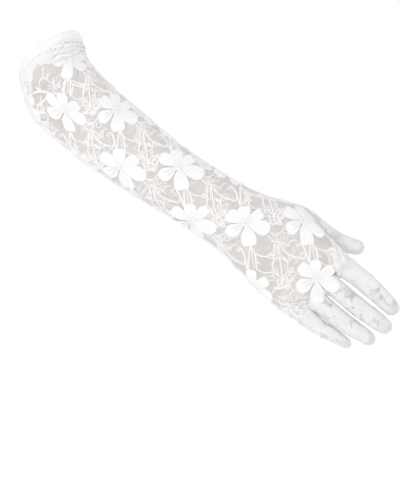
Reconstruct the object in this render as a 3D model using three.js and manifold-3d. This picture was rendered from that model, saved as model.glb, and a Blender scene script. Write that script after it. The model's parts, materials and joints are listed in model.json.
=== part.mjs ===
// A right-hand lace dress glove that reaches past the elbow, in the shape that it has on an arm.
// Millimetres. The fingers point down (-Z), the sleeve runs up (+Z), the thumb is on +X and the
// back of the hand faces -Y. The origin is the middle of the wrist.
// Every wall is one layer of lace. The glove is hollow from the cuff to each fingertip.

import * as THREE from "three";
import { mergeVertices } from "three/addons/utils/BufferGeometryUtils.js";
import Module from "manifold-3d";

const wasm = await Module();
wasm.setup();

// Cloth
const WALL = 1.0; // one layer of lace
const SEWN_GAP = 0.3; // between two pieces that are sewn to each other
const HEM_WALL = 2.0; // the lace folded over a flat elastic
const HEM_HEIGHT = 9; // along the sleeve
const SEAM_WIDTH = 2.4; // the overlocked edge inside, down the little-finger side
const SEAM_THICK = 0.9;
const SEAM_SAG = 0.9; // a flat strip lies this much further in than the round wall beside it

// Where one piece ends and the next begins
const SLEEVE_PARTS_AT = "fullest"; // rows of the sleeve's table
const HAND_STARTS_AT = "wrist";
const FINGER_ROOT_Z = -121.5;

// How finely the round pieces are faceted
const ARM_SIDES = 32;
const FINGER_SIDES = 16;
const ARM_STEP = 16; // the most between two rings of the sleeve, which has one at each row too
const FINGER_STEP = 9;
const TIP_STEPS = 3; // sections in a round fingertip
const SQUARENESS = 2.25; // 2 is an ellipse, and more is fuller at the corners
const BIG = 600; // reaches past the glove on every side

// Rows of values under named columns.
function table(columns, rows) {
  return rows.map((row) => Object.fromEntries(columns.map((name, i) => [name, row[i]])));
}

// The sleeve and hand as one tube, from the rim of the cuff to the roots of the fingers.
// left and right are the outline seen from the back of the hand. midY is the middle's depth,
// back and palm are the depths from there to the two faces, and lean tips the section back.
const ARM = table(
  ["at", "leftX", "leftZ", "rightX", "rightZ", "midY", "back", "palm", "lean"],
  [
    ["rim", -16, 252, 54, 231, 10, 33, 33, 23],
    ["hem", -22, 246, 48.6, 225.5, 7.6, 33, 33, 21],
    ["above elbow", -28, 239, 44.2, 220, 5.2, 33.4, 33.4, 18],
    ["elbow top", -34, 230, 40.2, 214, 3.2, 34, 34, 14],
    ["elbow point", -39.6, 220, 37.2, 207.5, 1.6, 34.6, 34.6, 10],
    ["elbow", -43, 209, 35.2, 200.5, 0.6, 35, 35, 6],
    ["below elbow", -44.6, 195, 33.4, 192, 0, 35, 35, 3],
    ["forearm top", -45.3, 178, 31.8, 177, 0, 34.4, 34.4, 1],
    ["fullest", -46, 157, 30, 157, 0, 33.4, 33.4, 0],
    ["upper forearm", -45.5, 130, 28, 130, 0, 31.8, 31.8, 0],
    ["mid forearm", -43.5, 100, 26.2, 100, 0, 29.6, 29.6, 0],
    ["lower forearm", -40.6, 72, 26, 72, 0, 27, 27, 0],
    ["above wrist", -38, 44, 27.4, 44, 0, 24.4, 24.4, 0],
    ["narrowest", -36, 20, 30, 20, 0, 22.2, 22.2, 0],
    ["wrist", -35, 0, 33, 0, 0, 20.6, 21, 0],
    ["heel of hand", -35.6, -17, 37, -17, 0, 19.2, 21, 0],
    ["thumb root", -38.6, -36, 42, -36, 0, 18, 21, 0],
    ["palm", -42, -54, 45.6, -54, 0, 16.8, 20, 0],
    ["thumb crotch", -44, -72, 44.4, -72, 0, 15.8, 17.6, 0],
    ["below thumb", -45, -90, 41, -91, 0, 14.8, 15.4, 0],
    ["knuckles", -45, -102, 39.4, -105, 0, 13.6, 13.8, 0],
    ["finger roots", -44.2, -109, 37.4, -112, 0, 11.8, 12, 0],
    ["web tops", -42, -114, 34.6, -117.2, 0, 9.2, 9.4, 0],
    ["webs", -38.6, -117.2, 30.8, -120.4, 0, 5.8, 6, 0],
  ],
);
const WEB_END = 1.6; // how far the webs bulge past the last section

// A row for each section of a finger, from inside the hand to where the round tip begins. wide and
// deep are half of its size across and from back to palm. tip is how far the round end reaches.
const SECTION = ["x", "y", "z", "wide", "deep"];
const FINGERS = {
  index_finger: {
    tip: 10,
    sections: table(SECTION, [
      [27.6, -1.2, -99, 8.6, 8.4],
      [27.6, -1, -117, 9.9, 9.2],
      [27.4, -0.8, -130, 10, 9],
      [27.2, -0.2, -142, 9.7, 8.7],
      [26.7, 0.6, -152, 9.8, 8.9],
      [25.6, 1.8, -163, 9.1, 8],
      [24.6, 3, -172, 8.7, 7.5],
      [23.4, 4.4, -181, 7.9, 6.9],
    ]),
  },
  middle_finger: {
    tip: 10.5,
    sections: table(SECTION, [
      [4.6, -1.6, -99, 8.4, 8.6],
      [4.6, -1.2, -117, 9.2, 9.2],
      [4.4, -1, -130, 9.1, 9],
      [3.9, -0.4, -142, 9, 8.8],
      [3.3, 0.6, -154, 9.3, 9],
      [3.4, 2, -166, 8.8, 8],
      [3.6, 3.6, -177, 8.7, 7.6],
      [3.8, 5, -186.5, 7.9, 6.9],
    ]),
  },
  ring_finger: {
    tip: 10,
    sections: table(SECTION, [
      [-16.8, -1.2, -98, 8.5, 8.4],
      [-16.8, -1, -116, 9.3, 9],
      [-17, -0.6, -129, 9.4, 8.8],
      [-17.5, 0, -140, 9.2, 8.5],
      [-17.8, 1, -150, 9.2, 8.6],
      [-17.2, 2.4, -161, 8.5, 7.7],
      [-16.4, 4, -171, 7.9, 7.1],
      [-15.9, 5.6, -180.5, 7.1, 6.4],
    ]),
  },
  little_finger: {
    tip: 9,
    sections: table(SECTION, [
      [-36, -0.6, -95, 7.6, 7.4],
      [-36.1, -0.4, -114, 8.4, 7.9],
      [-36.2, 0, -127, 8.3, 7.7],
      [-36.2, 0.8, -138, 7.6, 7.2],
      [-35.2, 2, -147, 7, 6.8],
      [-34, 3.6, -156, 6.2, 6],
      [-33.2, 5, -164.5, 5.4, 5.2],
    ]),
  },
};

const THUMB = {
  tip: 9,
  sections: table(SECTION, [
    [23, 3.4, -12, 6, 7],
    [27, 5.8, -25, 10.4, 11.4],
    [33, 9, -42, 13.6, 14],
    [39.6, 13.6, -58, 12.6, 13],
    [42.2, 18.4, -73, 10.2, 10.6],
    [42.8, 20.6, -87, 9.2, 9.8],
    [43.6, 21, -99, 8.9, 9.4],
    [46.6, 20, -109, 8.2, 8.8],
    [50.6, 18, -118.6, 7.2, 7.8],
  ]),
};

const WHITE_LACE = new THREE.MeshStandardMaterial({ color: 0xf1eeec, roughness: 0.85, metalness: 0 });
const WHITE_HEM = new THREE.MeshStandardMaterial({ color: 0xf7f6f5, roughness: 0.7, metalness: 0 });
const WHITE_THREAD = new THREE.MeshStandardMaterial({ color: 0xfaf9f8, roughness: 0.6, metalness: 0 });

// Tables of sections

// A smooth curve through the values of one column, read at a distance along the rows.
function readColumn(distances, values, at) {
  const last = distances.length - 1;
  let i = 0;
  while (i < last - 1 && at > distances[i + 1]) i += 1;
  const slope = (k) => {
    const before = Math.max(k - 1, 0);
    const after = Math.min(k + 1, last);
    return (values[after] - values[before]) / (distances[after] - distances[before]);
  };
  const span = distances[i + 1] - distances[i];
  const t = (at - distances[i]) / span;
  const t2 = t * t;
  const t3 = t2 * t;
  return (
    (2 * t3 - 3 * t2 + 1) * values[i] +
    (t3 - 2 * t2 + t) * span * slope(i) +
    (3 * t2 - 2 * t3) * values[i + 1] +
    (t3 - t2) * span * slope(i + 1)
  );
}

// The rows of a table as a function of the distance along its middle line.
function smoothTable(rows, middleOf) {
  const distances = [0];
  for (let i = 1; i < rows.length; i += 1) {
    distances.push(distances[i - 1] + middleOf(rows[i]).distanceTo(middleOf(rows[i - 1])));
  }
  const columns = Object.keys(rows[0]).filter((name) => typeof rows[0][name] === "number");
  const read = (at) => {
    const row = {};
    for (const name of columns) {
      row[name] = readColumn(distances, rows.map((r) => r[name]), at);
    }
    return row;
  };
  return { read, length: distances.at(-1), distances };
}

// Distances from one end of a stretch to the other, no more than a step apart.
function stations(from, to, step) {
  const count = Math.max(1, Math.ceil((to - from) / step));
  return Array.from({ length: count + 1 }, (_, i) => from + ((to - from) * i) / count);
}

// The same along the sleeve, with a stop at each row of its table.
function armStations(from, to) {
  const rows = arm.distances.filter((at) => at > from + 1 && at < to - 1);
  const stops = [from, ...rows, to];
  const stretches = stops.slice(1).map((stop, i) => stations(stops[i], stop, ARM_STEP).slice(1));
  return [from, ...stretches.flat()];
}

// Rings of points

// A full, slightly squared oval. wide is along across, and the depth is front on one side and
// rear on the other, along deep.
function ovalRing(middle, across, deep, wide, front, rear, sides) {
  const power = 2 / SQUARENESS;
  const rounded = (v) => Math.sign(v) * Math.abs(v) ** power;
  return Array.from({ length: sides }, (_, i) => {
    const angle = (2 * Math.PI * i) / sides;
    const depth = Math.sin(angle) < 0 ? front : rear;
    return middle
      .clone()
      .addScaledVector(across, wide * rounded(Math.cos(angle)))
      .addScaledVector(deep, depth * rounded(Math.sin(angle)));
  });
}

const armMiddle = (row) =>
  new THREE.Vector3((row.leftX + row.rightX) / 2, row.midY, (row.leftZ + row.rightZ) / 2);
const arm = smoothTable(ARM, armMiddle);

// The frame of the sleeve's section at a distance from the rim.
function armFrame(at) {
  const row = arm.read(at);
  const across = new THREE.Vector3(row.rightX - row.leftX, 0, row.rightZ - row.leftZ);
  const wide = across.length() / 2;
  across.normalize();
  const up = new THREE.Vector3(-across.z, 0, across.x);
  const lean = THREE.MathUtils.degToRad(row.lean);
  const deep = new THREE.Vector3(0, Math.cos(lean), 0).addScaledVector(up, -Math.sin(lean));
  return { middle: armMiddle(row), across, deep, wide, back: row.back, palm: row.palm };
}

// The sleeve's section, taken in from its outer surface.
function armRing(at, inset) {
  const f = armFrame(at);
  const { middle, across, deep, wide, back, palm } = f;
  return ovalRing(middle, across, deep, wide - inset, back - inset, palm - inset, ARM_SIDES);
}

const fingerMiddle = (row) => new THREE.Vector3(row.x, row.y, row.z);

// The rings of a finger from its first section to the round tip, taken in from its outer surface.
function fingerRings(finger, inset) {
  const course = smoothTable(finger.sections, fingerMiddle);
  const frameAt = (at) => {
    const row = course.read(at);
    const low = Math.max(at - 1, 0);
    const high = Math.min(at + 1, course.length);
    const along = fingerMiddle(course.read(high)).sub(fingerMiddle(course.read(low))).normalize();
    const across = new THREE.Vector3(1, 0, 0);
    across.addScaledVector(along, -across.dot(along)).normalize();
    const deep = new THREE.Vector3().crossVectors(across, along);
    const wide = row.wide - inset;
    const thick = row.deep - inset;
    return { middle: fingerMiddle(row), along, across, deep, wide, thick };
  };
  const rings = stations(0, course.length, FINGER_STEP).map((at) => {
    const f = frameAt(at);
    return ovalRing(f.middle, f.across, f.deep, f.wide, f.thick, f.thick, FINGER_SIDES);
  });
  const end = frameAt(course.length);
  const reach = finger.tip - inset;
  for (let i = 1; i < TIP_STEPS; i += 1) {
    const angle = (i * Math.PI) / 2 / TIP_STEPS;
    const middle = end.middle.clone().addScaledVector(end.along, reach * Math.sin(angle));
    const size = Math.cos(angle);
    const thick = end.thick * size;
    rings.push(ovalRing(middle, end.across, end.deep, end.wide * size, thick, thick, FINGER_SIDES));
  }
  rings.push([end.middle.clone().addScaledVector(end.along, reach)]);
  return rings;
}

// Solids

// A closed mesh through rings of points. A ring of one point closes an end, and an end that is a
// full ring is closed flat.
function loft(rings) {
  const points = rings.flat();
  const firsts = [];
  let count = 0;
  for (const ring of rings) {
    firsts.push(count);
    count += ring.length;
  }
  const triangles = [];
  for (let r = 0; r < rings.length - 1; r += 1) {
    const sides = Math.max(rings[r].length, rings[r + 1].length);
    const corner = (k, i) => firsts[k] + (rings[k].length === 1 ? 0 : i % sides);
    for (let i = 0; i < sides; i += 1) {
      const [here, beside] = [corner(r, i), corner(r, i + 1)];
      const [next, nextBeside] = [corner(r + 1, i), corner(r + 1, i + 1)];
      if (rings[r].length > 1) triangles.push([here, beside, next]);
      if (rings[r + 1].length > 1) triangles.push([beside, nextBeside, next]);
    }
  }
  const closeFlat = (k, turned) => {
    const ring = rings[k];
    if (ring.length === 1) return;
    const middle = ring.reduce((sum, p) => sum.add(p), new THREE.Vector3()).divideScalar(ring.length);
    points.push(middle);
    for (let i = 0; i < ring.length; i += 1) {
      const a = firsts[k] + i;
      const b = firsts[k] + ((i + 1) % ring.length);
      triangles.push(turned ? [points.length - 1, b, a] : [points.length - 1, a, b]);
    }
  };
  closeFlat(0, true);
  closeFlat(rings.length - 1, false);
  const geometry = new THREE.BufferGeometry().setFromPoints(points);
  geometry.setIndex(triangles.flat());
  return solidFrom(geometry);
}

// A solid from a geometry, whichever way round its faces are.
function solidFrom(geometry) {
  const bare = new THREE.BufferGeometry().setAttribute("position", geometry.getAttribute("position"));
  bare.setIndex(geometry.index);
  const merged = mergeVertices(bare, 1e-4);
  const vertProperties = new Float32Array(merged.getAttribute("position").array);
  const triVerts = new Uint32Array(merged.index.array);
  const make = () => new wasm.Manifold(new wasm.Mesh({ numProp: 3, vertProperties, triVerts }));
  const made = make();
  if (made.volume() > 0) return made;
  for (let i = 0; i < triVerts.length; i += 3) {
    [triVerts[i + 1], triVerts[i + 2]] = [triVerts[i + 2], triVerts[i + 1]];
  }
  return make();
}

// Everything above a height, or everything below it.
function slab(z, above) {
  const box = new THREE.BoxGeometry(BIG, BIG, BIG);
  box.translate(0, 0, z + (above ? BIG / 2 : -BIG / 2));
  return solidFrom(box);
}

const union = (solids) => solids.reduce((sum, s) => sum.add(s));

function armSolid(from, to, inset) {
  return loft(armStations(from, to).map((at) => armRing(at, inset)));
}

// The end of the hand: the tube to its last section, then a low bulge between the fingers.
function handSolid(from, inset) {
  const rings = armStations(from, arm.length).map((at) => armRing(at, inset));
  const end = armFrame(arm.length);
  rings.push([end.middle.clone().add(new THREE.Vector3(0, 0, inset - WEB_END))]);
  return loft(rings);
}

// Pieces of the glove

const placeOf = (name) => arm.distances[ARM.findIndex((row) => row.at === name)];
const wristAt = placeOf(HAND_STARTS_AT);
const partingAt = placeOf(SLEEVE_PARTS_AT);
const OVERRUN = 4; // how far a hollow runs past the wall that it opens
const HALF_GAP = SEWN_GAP / 2;

const fingerNames = Object.keys(FINGERS);
const outerFingers = fingerNames.map((name) => loft(fingerRings(FINGERS[name], 0)));
const innerFingers = fingerNames.map((name) => loft(fingerRings(FINGERS[name], WALL)));
const outerThumb = loft(fingerRings(THUMB, 0));
const innerThumb = loft(fingerRings(THUMB, WALL));

// A band of lace folded over elastic, a little thicker than the sleeve on both faces.
function makeHem() {
  const proud = (HEM_WALL - WALL) / 2;
  const round = HEM_WALL * 0.3;
  const profile = [
    { at: 0, inset: -proud + round },
    { at: round, inset: -proud },
    { at: HEM_HEIGHT, inset: -proud },
    { at: HEM_HEIGHT, inset: WALL + proud },
    { at: round, inset: WALL + proud },
    { at: 0, inset: WALL + proud - round },
  ];
  const rings = profile.map((p) => armRing(p.at, p.inset));
  return loftRound(rings);
}

// A closed band through rings, the last joined back to the first.
function loftRound(rings) {
  const sides = rings[0].length;
  const points = rings.flat();
  const triangles = [];
  for (let r = 0; r < rings.length; r += 1) {
    const next = (r + 1) % rings.length;
    for (let i = 0; i < sides; i += 1) {
      const j = (i + 1) % sides;
      triangles.push([r * sides + i, r * sides + j, next * sides + i]);
      triangles.push([r * sides + j, next * sides + j, next * sides + i]);
    }
  }
  const geometry = new THREE.BufferGeometry().setFromPoints(points);
  geometry.setIndex(triangles.flat());
  return solidFrom(geometry);
}

// A stretch of the sleeve, open at both ends.
function makeSleeve(from, to) {
  return armSolid(from, to, 0).subtract(armSolid(from - OVERRUN, to + OVERRUN, WALL));
}

// The palm and the back of the hand, with the roots of the fingers and a hole for the thumb.
function makeHand() {
  const roots = outerFingers.map((finger) => finger.subtract(slab(FINGER_ROOT_Z, false)));
  const outer = union([handSolid(wristAt + HALF_GAP, 0), ...roots]);
  const hollow = union([handSolid(wristAt - OVERRUN, WALL), innerThumb, ...innerFingers]);
  return outer.subtract(hollow);
}

// The thumb, set into the hand along the line where the two surfaces meet.
const makeThumb = () => outerThumb.subtract(handSolid(wristAt, -SEWN_GAP)).subtract(innerThumb);

function makeFinger(i) {
  const pastRoot = outerFingers[i].subtract(slab(FINGER_ROOT_Z - SEWN_GAP, true));
  return pastRoot.subtract(innerFingers[i]);
}

// The sewn edges of the lace, turned to the inside: a flat strip down the little-finger side,
// from the hem to the round of that finger's tip.
function makeSideSeam() {
  const spine = armStations(HEM_HEIGHT + SEAM_WIDTH, placeOf("knuckles")).map((at) => {
    const f = armFrame(at);
    return { edge: f.middle.clone().addScaledVector(f.across, -f.wide), inwards: f.across, flat: f.deep };
  });
  const finger = smoothTable(FINGERS.little_finger.sections, fingerMiddle);
  const pastWeb = finger.distances[2];
  for (const at of stations(pastWeb, finger.length, FINGER_STEP)) {
    const row = finger.read(at);
    const edge = new THREE.Vector3(row.x - row.wide, row.y, row.z);
    spine.push({ edge, inwards: new THREE.Vector3(1, 0, 0), flat: new THREE.Vector3(0, 1, 0) });
  }
  const half = SEAM_WIDTH / 2;
  const near = WALL + SEWN_GAP + SEAM_SAG;
  const corners = [
    { flat: -half, inwards: near },
    { flat: half, inwards: near },
    { flat: half, inwards: near + SEAM_THICK },
    { flat: -half, inwards: near + SEAM_THICK },
  ];
  const place = (stop, corner) => {
    const across = stop.edge.clone().addScaledVector(stop.flat, corner.flat);
    return across.addScaledVector(stop.inwards, corner.inwards);
  };
  return loft(spine.map((stop) => corners.map((corner) => place(stop, corner))));
}

// The named meshes

function addPiece(group, name, solid, material) {
  const mesh = solid.getMesh();
  const points = new Float32Array(mesh.numVert * 3);
  for (let i = 0; i < mesh.numVert; i += 1) {
    points.set(mesh.vertProperties.subarray(i * mesh.numProp, i * mesh.numProp + 3), i * 3);
  }
  const geometry = new THREE.BufferGeometry();
  geometry.setAttribute("position", new THREE.BufferAttribute(points, 3));
  geometry.setIndex(new THREE.BufferAttribute(mesh.triVerts, 1));
  const piece = new THREE.Mesh(geometry, material);
  piece.name = name;
  group.add(piece);
}

const glove = new THREE.Group();
addPiece(glove, "cuff_hem", makeHem(), WHITE_HEM);
addPiece(glove, "upper_sleeve", makeSleeve(HEM_HEIGHT + SEWN_GAP, partingAt - HALF_GAP), WHITE_LACE);
addPiece(glove, "lower_sleeve", makeSleeve(partingAt + HALF_GAP, wristAt - HALF_GAP), WHITE_LACE);
addPiece(glove, "hand", makeHand(), WHITE_LACE);
addPiece(glove, "thumb", makeThumb(), WHITE_LACE);
fingerNames.forEach((name, i) => addPiece(glove, name, makeFinger(i), WHITE_LACE));
addPiece(glove, "side_seam", makeSideSeam(), WHITE_THREAD);

export default glove;
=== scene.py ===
"""An elbow-length dress glove of white floral lace, in the form it has on an arm."""

import json
import math

import bpy
import numpy as np
from mathutils import Matrix, Vector

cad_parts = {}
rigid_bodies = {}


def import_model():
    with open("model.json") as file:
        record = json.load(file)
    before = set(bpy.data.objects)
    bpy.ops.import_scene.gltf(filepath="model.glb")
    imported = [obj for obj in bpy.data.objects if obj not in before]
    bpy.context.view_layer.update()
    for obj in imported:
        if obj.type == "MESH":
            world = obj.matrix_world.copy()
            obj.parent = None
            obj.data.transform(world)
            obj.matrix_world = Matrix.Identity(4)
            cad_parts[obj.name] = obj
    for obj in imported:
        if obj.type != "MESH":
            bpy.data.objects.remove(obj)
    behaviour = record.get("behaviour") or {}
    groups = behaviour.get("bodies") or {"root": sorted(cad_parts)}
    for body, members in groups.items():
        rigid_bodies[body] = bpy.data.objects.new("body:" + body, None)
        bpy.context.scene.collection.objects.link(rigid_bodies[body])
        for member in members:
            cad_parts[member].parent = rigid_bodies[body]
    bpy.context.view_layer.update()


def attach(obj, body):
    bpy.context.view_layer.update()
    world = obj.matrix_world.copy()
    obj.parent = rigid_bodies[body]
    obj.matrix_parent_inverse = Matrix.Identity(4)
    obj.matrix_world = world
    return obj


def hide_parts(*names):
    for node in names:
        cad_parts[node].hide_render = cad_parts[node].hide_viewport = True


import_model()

MM = 0.001
SEED = 7

# The camera, in millimetres

PICTURE_TALL = 504
PICTURE_MIDDLE = (-48.0, 0.0, 3.9)
PICTURE_RIGHT = Vector((0.6018, 0, -0.7986))
PICTURE_UP = Vector((0.7986, 0, 0.6018))
CAMERA_BACK = 2400
CAMERA_SEES_METRES = 50
SENSOR = 36


def table(columns, rows):
    """Rows of numbers under named columns, as one array for each column."""
    return {name: np.array([row[i] for row in rows], float) for i, name in enumerate(columns.split())}


# Sections of the tubes, the same sizes as the solids have. The rows of the arm go from the rim of
# the hem to the webs of the fingers, and those of a finger from its root to its tip.

ARM_SECTION = "leftX leftZ rightX rightZ midY back palm lean"
ARM = table(ARM_SECTION, [
    [-16, 252, 54, 231, 10, 33, 33, 23],
    [-22, 246, 48.6, 225.5, 7.6, 33, 33, 21],
    [-28, 239, 44.2, 220, 5.2, 33.4, 33.4, 18],
    [-34, 230, 40.2, 214, 3.2, 34, 34, 14],
    [-39.6, 220, 37.2, 207.5, 1.6, 34.6, 34.6, 10],
    [-43, 209, 35.2, 200.5, 0.6, 35, 35, 6],
    [-44.6, 195, 33.4, 192, 0, 35, 35, 3],
    [-45.3, 178, 31.8, 177, 0, 34.4, 34.4, 1],
    [-46, 157, 30, 157, 0, 33.4, 33.4, 0],
    [-45.5, 130, 28, 130, 0, 31.8, 31.8, 0],
    [-43.5, 100, 26.2, 100, 0, 29.6, 29.6, 0],
    [-40.6, 72, 26, 72, 0, 27, 27, 0],
    [-38, 44, 27.4, 44, 0, 24.4, 24.4, 0],
    [-36, 20, 30, 20, 0, 22.2, 22.2, 0],
    [-35, 0, 33, 0, 0, 20.6, 21, 0],
    [-35.6, -17, 37, -17, 0, 19.2, 21, 0],
    [-38.6, -36, 42, -36, 0, 18, 21, 0],
    [-42, -54, 45.6, -54, 0, 16.8, 20, 0],
    [-44, -72, 44.4, -72, 0, 15.8, 17.6, 0],
    [-45, -90, 41, -91, 0, 14.8, 15.4, 0],
    [-45, -102, 39.4, -105, 0, 13.6, 13.8, 0],
    [-44.2, -109, 37.4, -112, 0, 11.8, 12, 0],
    [-42, -114, 34.6, -117.2, 0, 9.2, 9.4, 0],
    [-38.6, -117.2, 30.8, -120.4, 0, 5.8, 6, 0],
])
# The cloth over the knuckles is also carried on flat past the webs, after the rows of the arm that
# reach the knuckles, so that motifs run on to the fingers.
ROWS_TO_KNUCKLES = 20
FLAT_ON = table(ARM_SECTION, [
    [-44.6, -122, 37.6, -124, 0, 9.4, 9.4, 0],
    [-44, -152, 36.6, -154, 1, 9, 9, 0],
])
# Each finger: how far its round tip reaches past its last row, and its rows
SECTION = "x y z wide deep"
FINGERS = {
    "index_finger": (10, table(SECTION, [
        [27.6, -1.2, -99, 8.6, 8.4],
        [27.6, -1, -117, 9.9, 9.2],
        [27.4, -0.8, -130, 10, 9],
        [27.2, -0.2, -142, 9.7, 8.7],
        [26.7, 0.6, -152, 9.8, 8.9],
        [25.6, 1.8, -163, 9.1, 8],
        [24.6, 3, -172, 8.7, 7.5],
        [23.4, 4.4, -181, 7.9, 6.9],
    ])),
    "middle_finger": (10.5, table(SECTION, [
        [4.6, -1.6, -99, 8.4, 8.6],
        [4.6, -1.2, -117, 9.2, 9.2],
        [4.4, -1, -130, 9.1, 9],
        [3.9, -0.4, -142, 9, 8.8],
        [3.3, 0.6, -154, 9.3, 9],
        [3.4, 2, -166, 8.8, 8],
        [3.6, 3.6, -177, 8.7, 7.6],
        [3.8, 5, -186.5, 7.9, 6.9],
    ])),
    "ring_finger": (10, table(SECTION, [
        [-16.8, -1.2, -98, 8.5, 8.4],
        [-16.8, -1, -116, 9.3, 9],
        [-17, -0.6, -129, 9.4, 8.8],
        [-17.5, 0, -140, 9.2, 8.5],
        [-17.8, 1, -150, 9.2, 8.6],
        [-17.2, 2.4, -161, 8.5, 7.7],
        [-16.4, 4, -171, 7.9, 7.1],
        [-15.9, 5.6, -180.5, 7.1, 6.4],
    ])),
    "little_finger": (9, table(SECTION, [
        [-36, -0.6, -95, 7.6, 7.4],
        [-36.1, -0.4, -114, 8.4, 7.9],
        [-36.2, 0, -127, 8.3, 7.7],
        [-36.2, 0.8, -138, 7.6, 7.2],
        [-35.2, 2, -147, 7, 6.8],
        [-34, 3.6, -156, 6.2, 6],
        [-33.2, 5, -164.5, 5.4, 5.2],
    ])),
    "thumb": (9, table(SECTION, [
        [23, 3.4, -12, 6, 7],
        [27, 5.8, -25, 10.4, 11.4],
        [33, 9, -42, 13.6, 14],
        [39.6, 13.6, -58, 12.6, 13],
        [42.2, 18.4, -73, 10.2, 10.6],
        [42.8, 20.6, -87, 9.2, 9.8],
        [43.6, 21, -99, 8.9, 9.4],
        [46.6, 20, -109, 8.2, 8.8],
        [50.6, 18, -118.6, 7.2, 7.8],
    ])),
}
HEM_HEIGHT = 9

# How square the oval sections are, the steps along a tube, the turns round it, and how the arm's tube
# rounds off and narrows at the webs
SQUARENESS = 2.25
STEP = 0.5
TURNS = 192
WEB_ROUND = 2.4
WEB_NARROWS = 0.1
# How fast a tube falls away past its open end, what share past the sewn edge still counts as cloth,
# and small sizes that stand in for nought
OPEN_END_REACH = 3.0
SEWN_EDGE = 0.004
NEARLY_NOUGHT = 1e-6
LEAST_GIRTH = 0.01
SHORT_OF_END = 0.01

# How softly the fingers run into the hand, and the thumb into the palm
FINGER_BLEND = 2.5
ROOT_BLEND = 5
THUMB_BLEND = 6
BLENDS_BELOW_Z = 24
SETTLE_ROUNDS = 3
SETTLE_STEP = 3

# Creases in the gathered lace under the hem: how deep they are, how much painted shade darkens their
# hollows and how narrow it is, where they end, and how they come in from the thumb side
CREASE_DEPTH = 0.85
CREASE_PAINTED_SHADE = 0.8
CREASE_NARROWS = 0.45
CREASES_FADE_IN = 2
CREASES_FADE_FROM = 22
CREASES_FADE_OVER = 9
CREASES_LEAST = 0.15
CREASES_FROM_WAY = 2
CREASES_GROW_OVER = 5

# Tubes


def read_column(distances, values, at):
    """A smooth curve through the values of a column, read at distances along the rows."""
    slopes = np.empty(len(values))
    slopes[1:-1] = (values[2:] - values[:-2]) / (distances[2:] - distances[:-2])
    slopes[0] = (values[1] - values[0]) / (distances[1] - distances[0])
    slopes[-1] = (values[-1] - values[-2]) / (distances[-1] - distances[-2])
    row = np.clip(np.searchsorted(distances, at, side="right") - 1, 0, len(values) - 2)
    span = distances[row + 1] - distances[row]
    t = (at - distances[row]) / span
    first = (2 * t**3 - 3 * t**2 + 1) * values[row] + (t**3 - 2 * t**2 + t) * span * slopes[row]
    second = (3 * t**2 - 2 * t**3) * values[row + 1] + (t**3 - t**2) * span * slopes[row + 1]
    return first + second


def unit(vectors):
    """The same vectors, each one long."""
    return vectors / np.maximum(np.linalg.norm(vectors, axis=-1, keepdims=True), 1e-9)


def dot(one, other):
    """Products of the vectors in two arrays, row by row."""
    return np.einsum("ij,ij->i", one, other)


def way_along(points):
    """How far along a path each of its points is."""
    return np.concatenate([[0], np.cumsum(np.linalg.norm(np.diff(points, axis=0), axis=1))])


def hump(values, top, wide):
    """A smooth hump: 1 where the values are at its top, and less and less to both sides."""
    return np.exp(-(((values - top) / wide) ** 2))


def ramp(values):
    """The values, held between 0 and 1."""
    return np.clip(values, 0, 1)


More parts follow.
